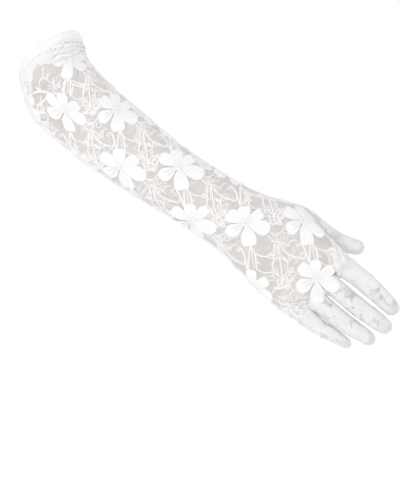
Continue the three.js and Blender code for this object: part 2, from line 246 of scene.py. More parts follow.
class Tube:
    """One tube of the glove. Its surface is read by the way round and the way down, in millimetres.

    The way round is nought at the middle of the back, grows towards the thumb side and goes round
    the palm to the little-finger side, where the cloth is sewn. The way down starts at the tube's
    open end.
    """

    def __init__(self, at, middle, across, deep, wide, back, palm, reach, rounds_width):
        self.at = at
        self.middle = middle
        self.end = at[-1]
        self.reach = reach
        ahead = -np.cross(across, deep)
        self.columns = np.column_stack([middle, across, deep, ahead, wide, back, palm])
        self.rounds_width = rounds_width
        self.length = self.end + reach * math.pi / 2
        self.measure_rounds()

    def read(self, at):
        """The rows of the tube's columns at distances along it."""
        place = np.clip(at / STEP, 0, len(self.at) - 1.001)
        low = place.astype(int)
        part = (place - low)[:, None]
        return self.columns[low] * (1 - part) + self.columns[low + 1] * part

    def frames(self, at):
        """Middles, axes and sizes of the sections, with the round end worked in."""
        rows = self.read(np.minimum(at, self.end))
        angle = np.clip((at - self.end) / self.reach, 0, math.pi / 2 - 0.001)
        middle = rows[:, 0:3] + rows[:, 9:12] * (self.reach * np.sin(angle))[:, None]
        size = np.cos(angle)
        width = size if self.rounds_width else (1 - WEB_NARROWS) + WEB_NARROWS * size
        wide, back, palm = rows[:, 12] * width, rows[:, 13] * size, rows[:, 14] * size
        return middle, rows[:, 3:6], rows[:, 6:9], wide, back, palm

    def measure_rounds(self):
        """Tables of the way round each section, from the little-finger side over the back."""
        self.marks = np.arange(0, self.length + STEP, STEP)
        turn = np.linspace(-math.pi, math.pi, TURNS + 1)
        _, _, _, wide, back, palm = self.frames(self.marks)
        u, v = oval(turn[None, :], wide[:, None], back[:, None], palm[:, None])
        steps = np.hypot(np.diff(u, axis=1), np.diff(v, axis=1))
        way = np.concatenate([np.zeros((len(u), 1)), np.cumsum(steps, axis=1)], axis=1)
        self.round = way[:, -1]
        self.to_back = way[:, TURNS // 4]
        share = np.linspace(0, 1, TURNS + 1)
        self.turns = np.array([np.interp(share * row[-1], row, turn) for row in way])

    def girth(self, at):
        """The way round, and the part of it that lies between the seam and the middle of the back."""
        return np.interp(at, self.marks, self.round), np.interp(at, self.marks, self.to_back)

    def point(self, way, at):
        """Places on the surface, and whether each is on the cloth and not past its sewn edge."""
        at = np.clip(at, 0, self.length - SHORT_OF_END)
        girth, to_back = self.girth(at)
        share = (way + to_back) / np.maximum(girth, LEAST_GIRTH)
        inside = (share > -SEWN_EDGE) & (share < 1 + SEWN_EDGE)
        share = np.clip(share, 0, 1) * TURNS
        low_share = np.minimum(share.astype(int), TURNS - 1)
        part = share - low_share
        mark = np.clip(at / STEP, 0, len(self.marks) - 1.001)
        low = mark.astype(int)
        slide = mark - low

        def turn_at(row):
            return self.turns[row, low_share] * (1 - part) + self.turns[row, low_share + 1] * part

        turn = turn_at(low) * (1 - slide) + turn_at(low + 1) * slide
        middle, across, deep, wide, back, palm = self.frames(at)
        u, v = oval(turn, wide, back, palm)
        return middle + across * u[:, None] + deep * v[:, None], inside

    def distance(self, points):
        """About how far points are outside the tube."""
        at = np.interp(-points[:, 2], -self.middle[:, 2], self.at)
        for _ in range(2):
            rows = self.read(at)
            ahead = dot(points - rows[:, 0:3], rows[:, 9:12])
            at = np.clip(at + ahead, 0, self.end)
        rows = self.read(at)
        off = points - rows[:, 0:3]
        u = np.abs(dot(off, rows[:, 3:6])) + NEARLY_NOUGHT
        v = dot(off, rows[:, 6:9])
        past = dot(off, rows[:, 9:12])
        wide = rows[:, 12]
        deep = np.where(v < 0, rows[:, 13], rows[:, 14])
        v = np.abs(v) + NEARLY_NOUGHT
        n = SQUARENESS
        oval_size = ((u / wide) ** n + (v / deep) ** n) ** (1 / n)
        grow_u = (u / wide) ** (n - 1) / wide * oval_size ** (1 - n)
        grow_v = (v / deep) ** (n - 1) / deep * oval_size ** (1 - n)
        reach = np.where(past > 0, self.reach, OPEN_END_REACH)
        rise = past / reach
        size = np.sqrt(oval_size**2 + rise**2)
        scale = oval_size / size
        growth = np.sqrt((grow_u * scale) ** 2 + (grow_v * scale) ** 2 + (rise / reach / size) ** 2)
        return (size - 1) / growth


def oval(turn, wide, back, palm):
    """A full, slightly squared oval: the way across and the way into the palm."""
    power = 2 / SQUARENESS
    cos, sin = np.cos(turn), np.sin(turn)
    u = wide * np.sign(cos) * np.abs(cos) ** power
    v = np.where(sin < 0, back, palm) * np.sign(sin) * np.abs(sin) ** power
    return u, v


def arm_middles(rows):
    """The middles of the arm's sections."""
    x = (rows["leftX"] + rows["rightX"]) / 2
    z = (rows["leftZ"] + rows["rightZ"]) / 2
    return np.column_stack([x, rows["midY"], z])


def read_rows(rows, middles):
    """The rows read at even steps along their middles, and those steps."""
    distances = way_along(middles)
    at = np.arange(0, distances[-1], STEP)
    return at, {name: read_column(distances, values, at) for name, values in rows.items()}


def arm_tube(rows):
    """The tube of the arm and the hand, from the rim of the hem down."""
    at, read = read_rows(rows, arm_middles(rows))
    middle = arm_middles(read)
    nought = np.zeros(len(at))
    across = np.column_stack([read["rightX"] - read["leftX"], nought, read["rightZ"] - read["leftZ"]])
    wide = np.linalg.norm(across, axis=1) / 2
    across = unit(across)
    up = np.column_stack([-across[:, 2], nought, across[:, 0]])
    lean = np.radians(read["lean"])[:, None]
    deep = np.array([0, 1, 0]) * np.cos(lean) - up * np.sin(lean)
    return Tube(at, middle, across, deep, wide, read["back"], read["palm"], WEB_ROUND, False)


def finger_tube(tip, rows):
    """The tube of a finger or the thumb, with its round tip."""
    at, read = read_rows(rows, np.column_stack([rows["x"], rows["y"], rows["z"]]))
    middle = np.column_stack([read["x"], read["y"], read["z"]])
    along = unit(np.gradient(middle, at, axis=0))
    side = np.array([1.0, 0, 0])
    across = unit(side - along * along[:, 0:1])
    deep = np.cross(across, along)
    return Tube(at, middle, across, deep, read["wide"], read["deep"], read["deep"], tip, True)


arm = arm_tube(ARM)
tubes = {name: finger_tube(tip, rows) for name, (tip, rows) in FINGERS.items()}
mitten = arm_tube({name: np.append(ARM[name][:ROWS_TO_KNUCKLES], FLAT_ON[name]) for name in ARM})


def soft_least(one, other, blend):
    """The lesser of two distances, rounded off where they are about the same."""
    near = np.maximum(blend - np.abs(one - other), 0) / blend
    return np.minimum(one, other) - near**2 * blend / 4


def distances_of(points):
    """How far points are outside each tube: the arm, the fingers and the thumb."""
    return {"arm": arm.distance(points), **{name: tube.distance(points) for name, tube in tubes.items()}}


def glove_distance(points, parts=None):
    """How far points are outside the glove, its tubes run softly together."""
    parts = parts or distances_of(points)
    fingers = parts["index_finger"]
    for name in ("middle_finger", "ring_finger", "little_finger"):
        fingers = soft_least(fingers, parts[name], FINGER_BLEND)
    hand = soft_least(parts["arm"], fingers, ROOT_BLEND)
    return soft_least(hand, parts["thumb"], THUMB_BLEND)


def slope_of(points):
    """The direction in which the distance from the glove grows, and the distance."""
    here = glove_distance(points)
    probe = 0.04
    grown = [glove_distance(points + step) - here for step in np.eye(3) * probe]
    return np.column_stack(grown) / probe, here


def settle(points, loose_normals):
    """Points moved on to the glove's surface, and the surface's normals there."""
    points = points.copy()
    normals = loose_normals.copy()
    low = np.nonzero(points[:, 2] < BLENDS_BELOW_Z)[0]
    for _ in range(SETTLE_ROUNDS):
        slope, here = slope_of(points[low])
        steep = np.maximum(dot(slope, slope), 0.05)
        points[low] += -slope * np.clip(here / steep, -SETTLE_STEP, SETTLE_STEP)[:, None]
    slope, _ = slope_of(points[low])
    normals[low] = unit(slope)
    return points, normals


def tube_normals(tube, way, at):
    """Normals of a tube's own surface."""
    probe = 0.3
    round_step = tube.point(way + probe, at)[0] - tube.point(way - probe, at)[0]
    down_step = tube.point(way, at + probe)[0] - tube.point(way, at - probe)[0]
    normals = unit(np.cross(down_step, round_step))
    middle = tube.frames(np.clip(at, 0, tube.length - SHORT_OF_END))[0]
    outwards = tube.point(way, at)[0] - middle
    normals *= np.where(dot(normals, outwards) < 0, -1, 1)[:, None]
    return normals


def crease_wave(way, at):
    """How the gathered lace under the hem waves in and out, most on the thumb side."""
    fades = ramp((at - HEM_HEIGHT) / CREASES_FADE_IN)
    fades = fades * hump(np.maximum(at - CREASES_FADE_FROM, 0), 0, CREASES_FADE_OVER)
    grows = 1 + np.exp(-(way - CREASES_FROM_WAY) / CREASES_GROW_OVER)
    side = CREASES_LEAST + (1 - CREASES_LEAST) / grows
    wave = np.cos(at * 1.25 - way * 0.14 + 1.3 * np.sin(way * 0.16))
    return fades * side * (wave + 0.4 * np.cos(at * 2.4 + way * 0.25))


def crease_painted_shade(way, at):
    """The painted shade of the creases: 1 outside them, less in their hollows."""
    return 1 - CREASE_PAINTED_SHADE * ramp(2 * (-crease_wave(way, at) - CREASE_NARROWS))


def lay(tube, way, at):
    """Where the cloth lies: places, normals, how far each moved, and what is on the cloth."""
    loose, inside = tube.point(way, at)
    normals = tube_normals(tube, way, at)
    places, normals = settle(loose, normals)
    moved = np.linalg.norm(places - loose, axis=1)
    if tube is arm or tube is mitten:
        places = places + normals * (CREASE_DEPTH * crease_wave(way, at))[:, None]
    return places, normals, moved, inside


def down_at(tube, z):
    """The way down the tube to a height on its middle line, or past its ends."""
    top, end = tube.middle[0, 2], tube.middle[-1, 2]
    return float(np.interp(-z, -tube.middle[:, 2], tube.at)) - max(0, z - top) + max(0, end - z)


# Lace: each motif is charted in millimetres, x towards the thumb side and y up the arm

# Petals of the flower: where each points, in degrees, how far it reaches, how wide it is, how square
# its end is, how deep it is notched, how strong its two slots are, how far one side is lifted, and
# its shade, a painted shade that makes each petal look lit a little differently
PETALS = table("angle reach wide square notch slots tilt shade", [
    [93, 22, 15, 2.4, 1.1, 0.2, 0.3, 1],
    [37, 19.6, 13.2, 3, 0.3, 0.25, -0.25, 0.97],
    [-19, 21.4, 12, 2.6, 1.1, 0.3, 0.3, 0.97],
    [-73, 26.4, 16.4, 2, 0.2, 0.15, -0.3, 1],
    [-132, 24.2, 15.8, 3.4, 0.5, 0.3, 0.25, 0.98],
    [158, 21.6, 15.2, 2.2, 0.3, 0.95, -0.35, 0.98],
])
# How far from the middle of the flower a petal starts, and its points along it and to each side
PETAL_STARTS = 2.6
PETAL_ALONG = np.array([0, 0.1, 0.2, 0.3, 0.4, 0.5, 0.6, 0.7, 0.79, 0.87, 0.93, 0.975, 1])
PETAL_SIDE = np.array([0.1, 0.23, 0.3, 0.37, 0.5, 0.66, 0.84, 0.93, 1])
PETAL_ACROSS = np.concatenate([-PETAL_SIDE[::-1], PETAL_SIDE])
# How fast a petal widens from the middle of the flower, how sharply it then stops widening, and how
# its outline waves
PETAL_WEDGE = 0.62
PETAL_TURN = 6
PETAL_WAVE = 0.04
# A petal's relief: its height, how far in from its edge it is full, its rim, its slots, the notch in
# its end and its mottle
PETAL_HEIGHT = 0.62
PETAL_SLOPE = 0.45
RIM_HEIGHT = 0.16
RIM_AT = 0.62
RIM_WIDE = 0.4
SLOTS_AT = 0.3
SLOT_WIDE = 0.05
SLOTS_FROM = 0.1
SLOTS_TO = 0.66
SLOT_DEPTH = 0.45
NOTCH_WIDE = 0.4
MOTTLE_HEIGHT = 0.07
# How much painted shade darkens a petal in its slots, between its ribs, inside its rim, at its root and
# at its edge, and how far the painted shade of its mottle wanders
SLOT_SHADE = 0.9
RIB_SHADE = 0.08
RIM_SHADE = 0.06
RIM_SHADE_AT = 1.3
RIM_SHADE_WIDE = 0.4
ROOT_SHADE = 0.2
ROOT_SHADE_REACH = 0.16
EDGE_SHADE = 0.1
EDGE_SHADE_REACH = 0.5
MOTTLE_SHADE = 0.08
# No two petals are quite alike: the range of each factor, and of the turn in degrees
REACH_VARIES = (0.95, 1.04)
WIDTH_VARIES = (0.94, 1.06)
TURN_VARIES = (-4, 4)
NOTCH_VARIES = (0.4, 1.8)
ODD_PETAL_LIFT = 0.1
# The middle of a flower, ring by ring: how far out, how high, how far it ripples, and how much painted
# shade darkens its hollows
CENTRE_SIZE = 3.6
CENTRE_SIDES = 24
CENTRE = table("out height ripple dark", [
    [0.12, 0.95, 0, 0.1],
    [0.4, 0.72, 0.16, 0.55],
    [0.62, 1.05, 0.14, 0.1],
    [0.8, 0.95, 0.08, 0.05],
    [1.0, 0.2, 0, 0.25],
])

# Flowers on the sleeve and the hand: the height of each row on the middle line, and how far round
# its first flower is from the middle of the back. The others follow at even steps all round. Of the
# first rows and the last, only what reaches the cloth shows. Last, how wide and how tall the stretch
# of the cloth makes the flowers there.
FLOWER_ROWS = table("height way step wide tall", [
    [264, 22, 76, 1, 1],
    [243, -16, 76, 0.9, 0.6],
    [221, 27.5, 76, 0.95, 0.74],
    [192.5, -11.5, 76, 0.7, 0.94],
    [155, 22.5, 76, 1, 0.9],
    [117, -20, 76, 0.93, 1.08],
    [72, 13.6, 76, 1, 1],
    [30, -26, 76, 1, 1],
    [-15, 1.3, 78, 1, 1],
    [-59, 38, 88, 1, 1],
    [-104, 2.8, 84, 1, 1],
    [-149, 44, 84, 1, 1],
    [-193, 3, 84, 1, 1],
])

# The stems of one cell of the lace. A flower stands at each of its corners: 0,0 above, 100,0 towards
# the thumb side, 0,100 towards the little-finger side and 100,100 below. Places are in hundredths of
# the cell's two sides, and sizes in millimetres. A cord is how wide it is and the places it runs
# through.
CELL_CORDS = [
    (1.8, [(5, 35), (2, 44), (0, 53), (-2, 64), (-3, 73)]),
    (1.8, [(5, 35), (9, 44), (11, 53), (11, 62), (11, 73)]),
    (1.1, [(5, 40), (5.5, 50), (6.5, 60), (6.5, 70)]),
    (1.4, [(9, 45), (15, 50), (22, 53), (30, 55), (37, 57.5), (43, 59)]),
    (1.5, [(34, 22), (38, 27), (42, 32)]),
    (1.7, [(41, 32), (48, 34), (53, 35), (58, 36)]),
    (1.2, [(42.5, 34), (41.5, 42), (39, 48), (33, 52.5), (28, 54)]),
    (1.7, [(45.5, 35), (43.5, 44), (41.5, 53), (38.5, 62), (35.5, 73)]),
    (1.2, [(48.5, 37), (47, 46), (46, 56), (45, 60)]),
    (1.6, [(50.5, 36), (49.5, 46), (49.2, 58), (49.4, 70), (50, 82), (50.5, 92)]),
    (1.7, [(53, 36), (55, 44), (59, 50), (65, 55), (73, 59), (81, 62), (91, 65)]),
    (1.3, [(57, 36), (61, 39), (65.5, 41), (68, 39), (71, 35.5), (76, 33), (82, 34)]),
    (1.8, [(86, 37), (90.5, 44), (93, 52), (93.5, 60), (95, 71)]),
    (1.4, [(38, 60), (45, 59.5), (52, 58.5), (60, 60)]),
    (1.4, [(11, 71), (18, 76), (24, 79), (30, 78.5), (37, 80), (43, 84), (47, 88), (50.5, 92)]),
    (1.2, [(36, 72), (36.5, 77), (38, 81)]),
    (1.4, [(65, 56), (62.5, 63), (60.5, 70), (60.5, 77), (62, 83)]),
    (1.2, [(64, 65), (70, 61), (78, 62)]),
    (1.1, [(18, 84.5), (28, 84), (36, 85), (42, 90)]),
    (1.1, [(20, 90), (29, 90.5), (36, 91), (44, 92.5), (50.5, 92)]),
    (1.5, [(50.5, 92), (54, 87), (58, 82), (63, 80), (67, 83.5), (72, 82)]),
    (1.4, [(50.5, 92), (56, 93), (61, 96), (66, 93), (69, 88), (73, 87)]),
    (1.3, [(56, 93), (58, 88), (63, 86), (66.5, 89.5)]),
    (1.5, [(50.5, 92), (49, 98), (52, 103), (58, 101), (64, 97), (69, 93)]),
    (1.4, [(49, 98), (44, 99), (41, 104), (36, 107), (33, 112)]),
    (1.3, [(41, 104), (46, 106), (52, 103), (56, 107), (62, 105)]),
    (1.2, [(50.5, 92), (46, 86), (44, 80), (45, 74)]),
    (1.6, [(36, 2), (45, 4.5), (53, 4), (63, 3)]),
    (1.4, [(38, 17), (42, 20), (49, 20.5), (57, 19), (62, 14), (65, 8)]),
    (1.3, [(40, 27), (44, 23), (52, 23), (56, 27), (52, 31), (46, 31)]),
    (1.2, [(44, -12), (42, -5), (45, 4.5)]),
    (1.2, [(56, -10), (58, -4), (56, 4)]),
]
# Each leaf: its two ends, and how wide it is
CELL_LEAVES = [
    (52, 60, 62, 68, 3), (31, 51, 42, 58, 3), (93, 56, 87, 64, 2.6), (94, 62, 99, 70, 2.6),
    (11, 60, 17, 66, 2.4), (-1, 58, -8, 64, 2.4), (38, 81, 31, 85, 2.4), (67, 83, 72, 77, 2.6),
    (41, 104, 34, 101, 2.6), (58, 101, 62, 108, 2.6), (55, 44, 62, 45, 2.2),
]
# Each ring: its middle, half its width and half its height, and its turn in degrees
CELL_RINGS = [
    (64, 24.5, 3.1, 2.5, 0), (48, 27, 2, 1.2, 0), (61.5, 91, 2.2, 2, 0),
    (45.5, 95.5, 2.2, 1.7, 30), (56, 98, 1.7, 1.4, 0),
]
# Each twig: its two ends
CELL_TWIGS = [
    (60, 97, 57, 104), (44, 84, 37, 73), (58, 82, 56, 71), (86, 37, 80, 44),
]
# Each knot: its place, and half its width
CELL_KNOTS = [
    (65.5, 41, 1.5), (50.5, 92, 1.7), (42, 32, 1.4), (38, 81, 1.2),
    (67, 83.5, 1.2), (63, 86, 1.1), (69, 88, 1.1), (52, 103, 1.3),
    (41, 104, 1.2), (57, 19, 1.2), (42, 20, 1.2), (60.5, 22, 0.9),
    (68, 23, 0.9), (64, 28.5, 0.9), (62, 83, 1.2), (43, 84, 1.1),
]

# The stems between the hem and the first whole flowers, where the lace is cut off: cords as above,
# rings with half their width, and leaves with their turn, length and width. Places are the way round
# and the way down. The stems of the first rows of cells are left out this near to the middle of the
# back.
HEM_CELL_ROWS = 2
HEM_CELL_GAP = 20
HEM_CORDS = [
    (1.3, [(-4.5, 18.3), (-6, 22.3), (-9, 25.8), (-14.5, 27), (-16.5, 32.5)]),
    (1.2, [(-9, 25.8), (-6, 29.8), (-3.5, 33.8), (-1.3, 37.8)]),
    (1.8, [(-26, 29.3), (-19, 32), (-11.5, 37.5)]),
    (1.3, [(-3.3, 44), (-10.8, 41), (-21, 39.5), (-31.8, 38)]),
    (1.5, [(-19.3, 35.3), (-25, 39.5), (-31.3, 45.3)]),
    (1.4, [(14.8, 44.3), (17.8, 50.8), (23.5, 57.8), (30, 64.5)]),
    (1.5, [(13.8, 43.3), (7.5, 41.5), (3.3, 44.3), (0.3, 49.8)]),
    (1.5, [(14.3, 44.8), (11, 49.8), (4.5, 53.8)]),
    (1.2, [(-1.3, 37.8), (-5.3, 39), (-5.5, 42.8)]),
    (1.2, [(-1.3, 37.8), (3, 39), (7, 37.8)]),
]
HEM_RINGS = [
    (-2, 40.5, 1.6), (-7.5, 36, 1.3), (-12, 39, 1.3), (1.5, 41, 1.2),
]
HEM_LEAVES = [
    (-1.3, 37.8, 60, 7, 2.6), (-16.5, 32.5, 120, 6.5, 2.6), (-6, 29.8, 20, 6, 2.4),
]

# Motifs on the fingers: the height on the finger's middle line, how far round from the middle of
# its back, the size against a flower of the sleeve, and the turn in degrees
FINGER_FLOWERS = {
    "index_finger": [(-139, -2, 0.8, 10), (-171, 12, 0.6, 40), (-166, -20, 0.6, 0)],
    "middle_finger": [
        (-114, 3, 0.6, 40), (-136, -12, 0.62, 30), (-160, 4, 0.66, 0), (-146, 24, 0.6, 70),
    ],
    "ring_finger": [
        (-120, -6, 0.55, 10), (-144, 3, 0.66, 20), (-168, -4, 0.6, 50), (-160, 20, 0.6, 0),
    ],
    "little_finger": [(-130, -2, 0.6, 0), (-151, 5, 0.56, 30), (-142, 22, 0.5, 0)],
    "thumb": [(-48, -12, 0.8, 15), (-84, 14, 0.6, 40), (-109, -3, 0.6, 0), (-66, 26, 0.7, 0)],
}
# Leaves on each finger: the share of the way down it, how far round, the turn, the length and the width
FINGER_LEAVES = [
    (0.1, -6, 80, 16, 3.6), (0.12, 5, 104, 15, 3.4), (0.34, 8, 70, 13, 3.2),
    (0.36, -9, 112, 14, 3.4), (0.55, 0, 86, 15, 3.6), (0.6, 10, 108, 13, 3.2),
    (0.62, -10, 70, 13, 3.2), (0.8, 5, 98, 13, 3.4), (0.82, -5, 82, 13, 3.4),
    (0.2, 15, 84, 14, 3.4), (0.2, -15, 96, 14, 3.4), (0.5, 19, 92, 14, 3.4),
    (0.48, -19, 88, 14, 3.4), (0.75, 17, 96, 12, 3.2), (0.75, -17, 84, 12, 3.2),
]

# The motifs of the fingers are worked in flatter, with less shade
FLATTER = 0.5
FAINTER = 0.3
FINE_SHADE = 0.84
# The cord round each of their petals: how wide, how much flatter, how far up, and its reach aside
FINGER_CORD = 0.9
LOOP_FLATTER = 0.6
LOOP_LIFT = 0.2
LOOP_SIDE = 0.46
# How far their motifs may run on to the hand, and where their net starts and how far short it stops
FINGER_SLACK = 1.2
FINGER_NET_FROM = 4
FINGER_NET_SHORT = 0.3

# Spots of painted shade on the fingers and the thumb: the net is greyer there, for the shade seen
# through it where it is open. The place seen from the back, the size, and how much greyer. A spot is
# full to OPEN_TO - 1 times its size, and gone at OPEN_TO times.
OPEN_TO = 1.6
PAINTED_SHADE_SPOTS = [
    (29, -157, 4.5, 0.5), (28, -169, 5.5, 0.55), (27, -180, 4, 0.45), (7.4, -145, 4, 0.4),
    (-2.4, -165, 3.5, 0.25), (1.8, -180, 4.5, 0.3), (-12.5, -130, 4, 0.4), (43, -73, 3.6, 0.2),
    (47.3, -85, 2.2, 0.45), (46.5, -90.6, 2, 0.4), (48.4, -99.5, 2.6, 0.4), (45, -108.8, 2.6, 0.4),
]

# Eyelets in the strip of lace under the hem: the way round, the way down, and half the width
HEM_EYELETS = [
    (-20.75, 19.25, 1.15), (-24, 20.75, 1.15), (-29, 21.75, 1.15), (3.75, 10.8, 0.9),
    (7.75, 11.2, 0.9), (3.5, 35.75, 1), (12.5, 41, 1.1),
]
EYELET_RING = 0.9

# The net: a lattice of six-sided meshes, each strand a flat roof of six points
NET_PITCH = 1.55
FINGER_NET_PITCH = 1.2
NET_YARN = 0.64
FINGER_YARN = 0.58
NET_RISE = 0.2
NET_WOBBLE = 0.05
# How far strands run past their corners, on to the next tube and past the sewn edge, and how their
# shades vary
STRAND_LAP = 0.1
NET_SLACK = 0.35
NET_EDGE = 0.002
NET_SHADES = (0.8, 1)
NET_CLOUDS = 0.05
STRAND_POINTS = 6
STRAND_FACES = np.array([[0, 3, 4, 1], [1, 4, 5, 2]])

# The strip under the hem, of closer and whiter net: how far down it ends at each way round. Under its
# short end on the back of the arm the net stays close as far as STRIP_END.
STRIP_PITCH = 1.05
STRIP_YARN = 0.5
STRIP_ENDS = table("way down", [
    [-40, 33],
    [-30, 31],
    [-26.5, 29],
    [-22, 22],
    [-19.5, 18.5],
    [-13, 15.2],
    [-9, 15.2],
    [-4, 17.5],
    [4, 21.3],
    [8.5, 26.3],
    [14, 28],
])
STRIP_END = 34
STRIP_LAP = 1
STRIP_WAVE = 0.5
# Where the net under the strip is darkened, and by how much: painted shade for the shaded inside of the
# sleeve seen through it
CLOSE_WAY = -8
CLOSE_REACH = 22
CLOSE_PAINTED_SHADE = 0.25

# Cords, leaves, twigs, rings and knots
CORD_STEP = 1.5
CORD_FINENESS = 8
CORD_HEIGHT = 0.62
CORD_FULL_WIDE = 1.4
CORD_ENDS_WIDE = 0.5
CORD_ENDS_OVER = 1.6
CORD_ACROSS = np.array([-1, -0.5, 0.5, 1])
CORD_RISE = np.array([0, 1, 1, 0])
LEAF_ACROSS = np.array([-1, -0.55, 0, 0.55, 1])
LEAF_RISE = np.array([0, 1, 0.45, 1, 0])
LEAF_HEIGHT = 0.8
LEAF_POINTS = 9
LEAF_BEND = 0.12
LEAF_TIP = 0.08
TWIG_WIDE, TWIG_HEIGHT, TWIG_KNOT = 1.05, 0.5, 0.85
FORK_WIDE, FORK_HEIGHT, FORK_KNOT = 0.95, 0.46, 0.75
# Each fork of a twig: the share of the way along it, the turn in degrees, and the share of its length
TWIG_FORKS = ((0.28, 48, 0.42), (0.45, -52, 0.46), (0.66, 46, 0.36), (0.8, -44, 0.3))
RING_CORD = 1.1
RING_HEIGHT = 0.55
RING_POINTS = 25
KNOT_SIDES = 8
KNOT_RINGS = np.array([0.02, 0.6, 1])
KNOT_HEIGHTS = np.array([0.95, 0.75, 0])

# How every motif lies on the cloth: how high, how far its points may move with the form, where motifs
# start, how far off the cloth a row's flowers may stand, and how many are tried to each side
LACE_LIFT = 0.06
MOST_MOVE = 4.2
MOTIFS_FROM = HEM_HEIGHT - 0.8
ROW_MARGIN = 26
FLOWERS_ASIDE = 4
# The grid that marks what motifs cover, and how finely their faces are sampled for it
COVER_CELL = 0.5
COVER_SAMPLES = 7
COVER_MARGIN = 5
COVER_PAST_END = 4
GIRTHS_READ = 60

# The places of the yarns among the materials of a sleeve piece, and of a finger
NET, PETAL, CORD, STRIP = 0, 1, 2, 3
FINE = 0

# Where the lace is parted, and how far down the motifs of the hand reach: the stems, the petals of
# the flower on the knuckles, and those of the flowers that would stand on the fingers
PARTING_Z = 157
PARTING_SLACK = 4
STEMS_END_Z = -117
KNUCKLE_FLOWER_Z = -104
KNUCKLE_PETALS_END_Z = -134
LAST_PETALS_END_Z = -126


def new_object(name, data):
    """A new object in the scene."""
    thing = bpy.data.objects.new(name, data)
    bpy.context.scene.collection.objects.link(thing)
    return thing


class Lace:
    """Gathers the net, the petals and the cords of one piece before they become one mesh."""

    def __init__(self):
        self.points, self.faces, self.threads, self.shades, self.finishes = [], [], [], [], []
        self.count = 0

    def add(self, points, quads, threads, shades, finish):
        """Points, faces of four corners, thread coordinates in millimetres, and shades of 0 to 1."""
        if not len(quads):
            return
        used, faces = np.unique(quads, return_inverse=True)
        self.points.append(points[used])
        self.threads.append(threads[used])
        self.shades.append(shades[used])
        self.faces.append(faces.reshape(quads.shape) + self.count)
        self.finishes.append(np.full(len(quads), finish))
        self.count += len(used)

    def make(self, name, materials):
        """The mesh object of the piece, in metres."""
        points = np.concatenate(self.points) * MM
        faces = np.concatenate(self.faces)
        threads = np.concatenate(self.threads)
        mesh = bpy.data.meshes.new(name)
        mesh.vertices.add(len(points))
        mesh.vertices.foreach_set("co", points.ravel())
        mesh.loops.add(faces.size)
        mesh.loops.foreach_set("vertex_index", faces.ravel().astype(np.int32))
        mesh.polygons.add(len(faces))
        mesh.polygons.foreach_set("loop_start", np.arange(0, faces.size, 4, dtype=np.int32))
        mesh.polygons.foreach_set("material_index", np.concatenate(self.finishes).astype(np.int32))
        mesh.update(calc_edges=True)
        mesh.shade_smooth()
        layer = mesh.uv_layers.new(name="Threads")
        layer.data.foreach_set("uv", threads[faces.ravel()].ravel())
        shade = mesh.attributes.new("shade", "FLOAT", "POINT")
        shade.data.foreach_set("value", np.concatenate(self.shades).astype(np.float32))
        for material in materials:
            mesh.materials.append(material)
        return new_object(name, mesh)


def grid_quads(rows, columns):
    """Faces of a grid of points, row by row."""
    corner = (np.arange(rows - 1)[:, None] * columns + np.arange(columns - 1)[None, :]).ravel()
    return np.column_stack([corner, corner + columns, corner + columns + 1, corner + 1])


def turned(x, y, angle):
    """Plane coordinates turned by an angle in degrees."""
    cos, sin = math.cos(math.radians(angle)), math.sin(math.radians(angle))
    return x * cos - y * sin, x * sin + y * cos


def petal_half(x, reach, wide, square):
    """Half the width of a petal along it: a wedge that ends in a disc, round or more square."""
    wedge = ((PETAL_WEDGE * x) ** -PETAL_TURN + (wide / 2) ** -PETAL_TURN) ** (-1 / PETAL_TURN)
    past = np.clip((x - reach + wide / 2) / (wide / 2), 0, 0.99)
    return wedge * (1 - past**square) ** (1 / square)


def petal_chart(reach, wide, square, notch, slots, tilt, shade):
    """One petal along +x: its points, their heights, its faces and its shades."""
    length = reach - PETAL_STARTS
    share = np.repeat(PETAL_ALONG, len(PETAL_ACROSS))
    across = np.tile(PETAL_ACROSS, len(PETAL_ALONG))
    x = PETAL_STARTS + share * length
    half = petal_half(x, reach, wide, square) * (1 + PETAL_WAVE * np.sin(share * 11 + reach * 3))
    y = half * across
    to_edge = np.minimum((1 - np.abs(across)) * half, (1 - share) * length)
    height = PETAL_HEIGHT * ramp(to_edge / PETAL_SLOPE) ** 0.5
    height = height + RIM_HEIGHT * hump(to_edge, RIM_AT, RIM_WIDE) + tilt * across
    slot = hump(np.abs(across), SLOTS_AT, SLOT_WIDE) * ramp((SLOTS_TO - share) * 6)
    slot = slot * ramp((share - SLOTS_FROM) * 10) * slots
    mottle = np.sin(x * 0.8 + reach) * np.sin(y * 0.9 - reach * 2)
    height = height - SLOT_DEPTH * slot + MOTTLE_HEIGHT * mottle
    ribs = (0.5 + 0.5 * np.cos(across * 14)) * ramp((0.9 - share) * 3)
    # The shades are painted shade: darker in the sunk slots, between the ribs, just inside the rim, at
    # the root, at the falling edge and in the dents of the mottle
    shades = shade - SLOT_SHADE * slot - RIB_SHADE * ribs
    shades = shades - RIM_SHADE * hump(to_edge, RIM_SHADE_AT, RIM_SHADE_WIDE)
    shades = shades - ROOT_SHADE * hump(share, 0, ROOT_SHADE_REACH)
    shades = shades - EDGE_SHADE * ramp(1 - to_edge / EDGE_SHADE_REACH)
    shades = shades + MOTTLE_SHADE * mottle
    x = x - notch * hump(across, 0, NOTCH_WIDE) * share**7
    return x, y, height, grid_quads(len(PETAL_ALONG), len(PETAL_ACROSS)), shades


def centre_chart():
    """The middle of a flower: a low knotted dome, its small eyelets painted as shade in its hollows."""
    out, heights, ripples, painted_hollow_shades = (values[:, None] for values in CENTRE.values())
    turn = np.arange(CENTRE_SIDES + 1) * 2 * math.pi / CENTRE_SIDES
    ripple = np.cos(turn * 6)
    x = (out * CENTRE_SIZE * np.cos(turn)).ravel()
    y = (out * CENTRE_SIZE * np.sin(turn)).ravel()
    height = (heights + ripples * ripple).ravel()
    # Painted shade in the hollows of the ripples
    shade = (1 - painted_hollow_shades * np.clip(0.6 - ripple, 0, 1.2)).ravel()
    return x, y, height, grid_quads(len(out), CENTRE_SIDES + 1), shade


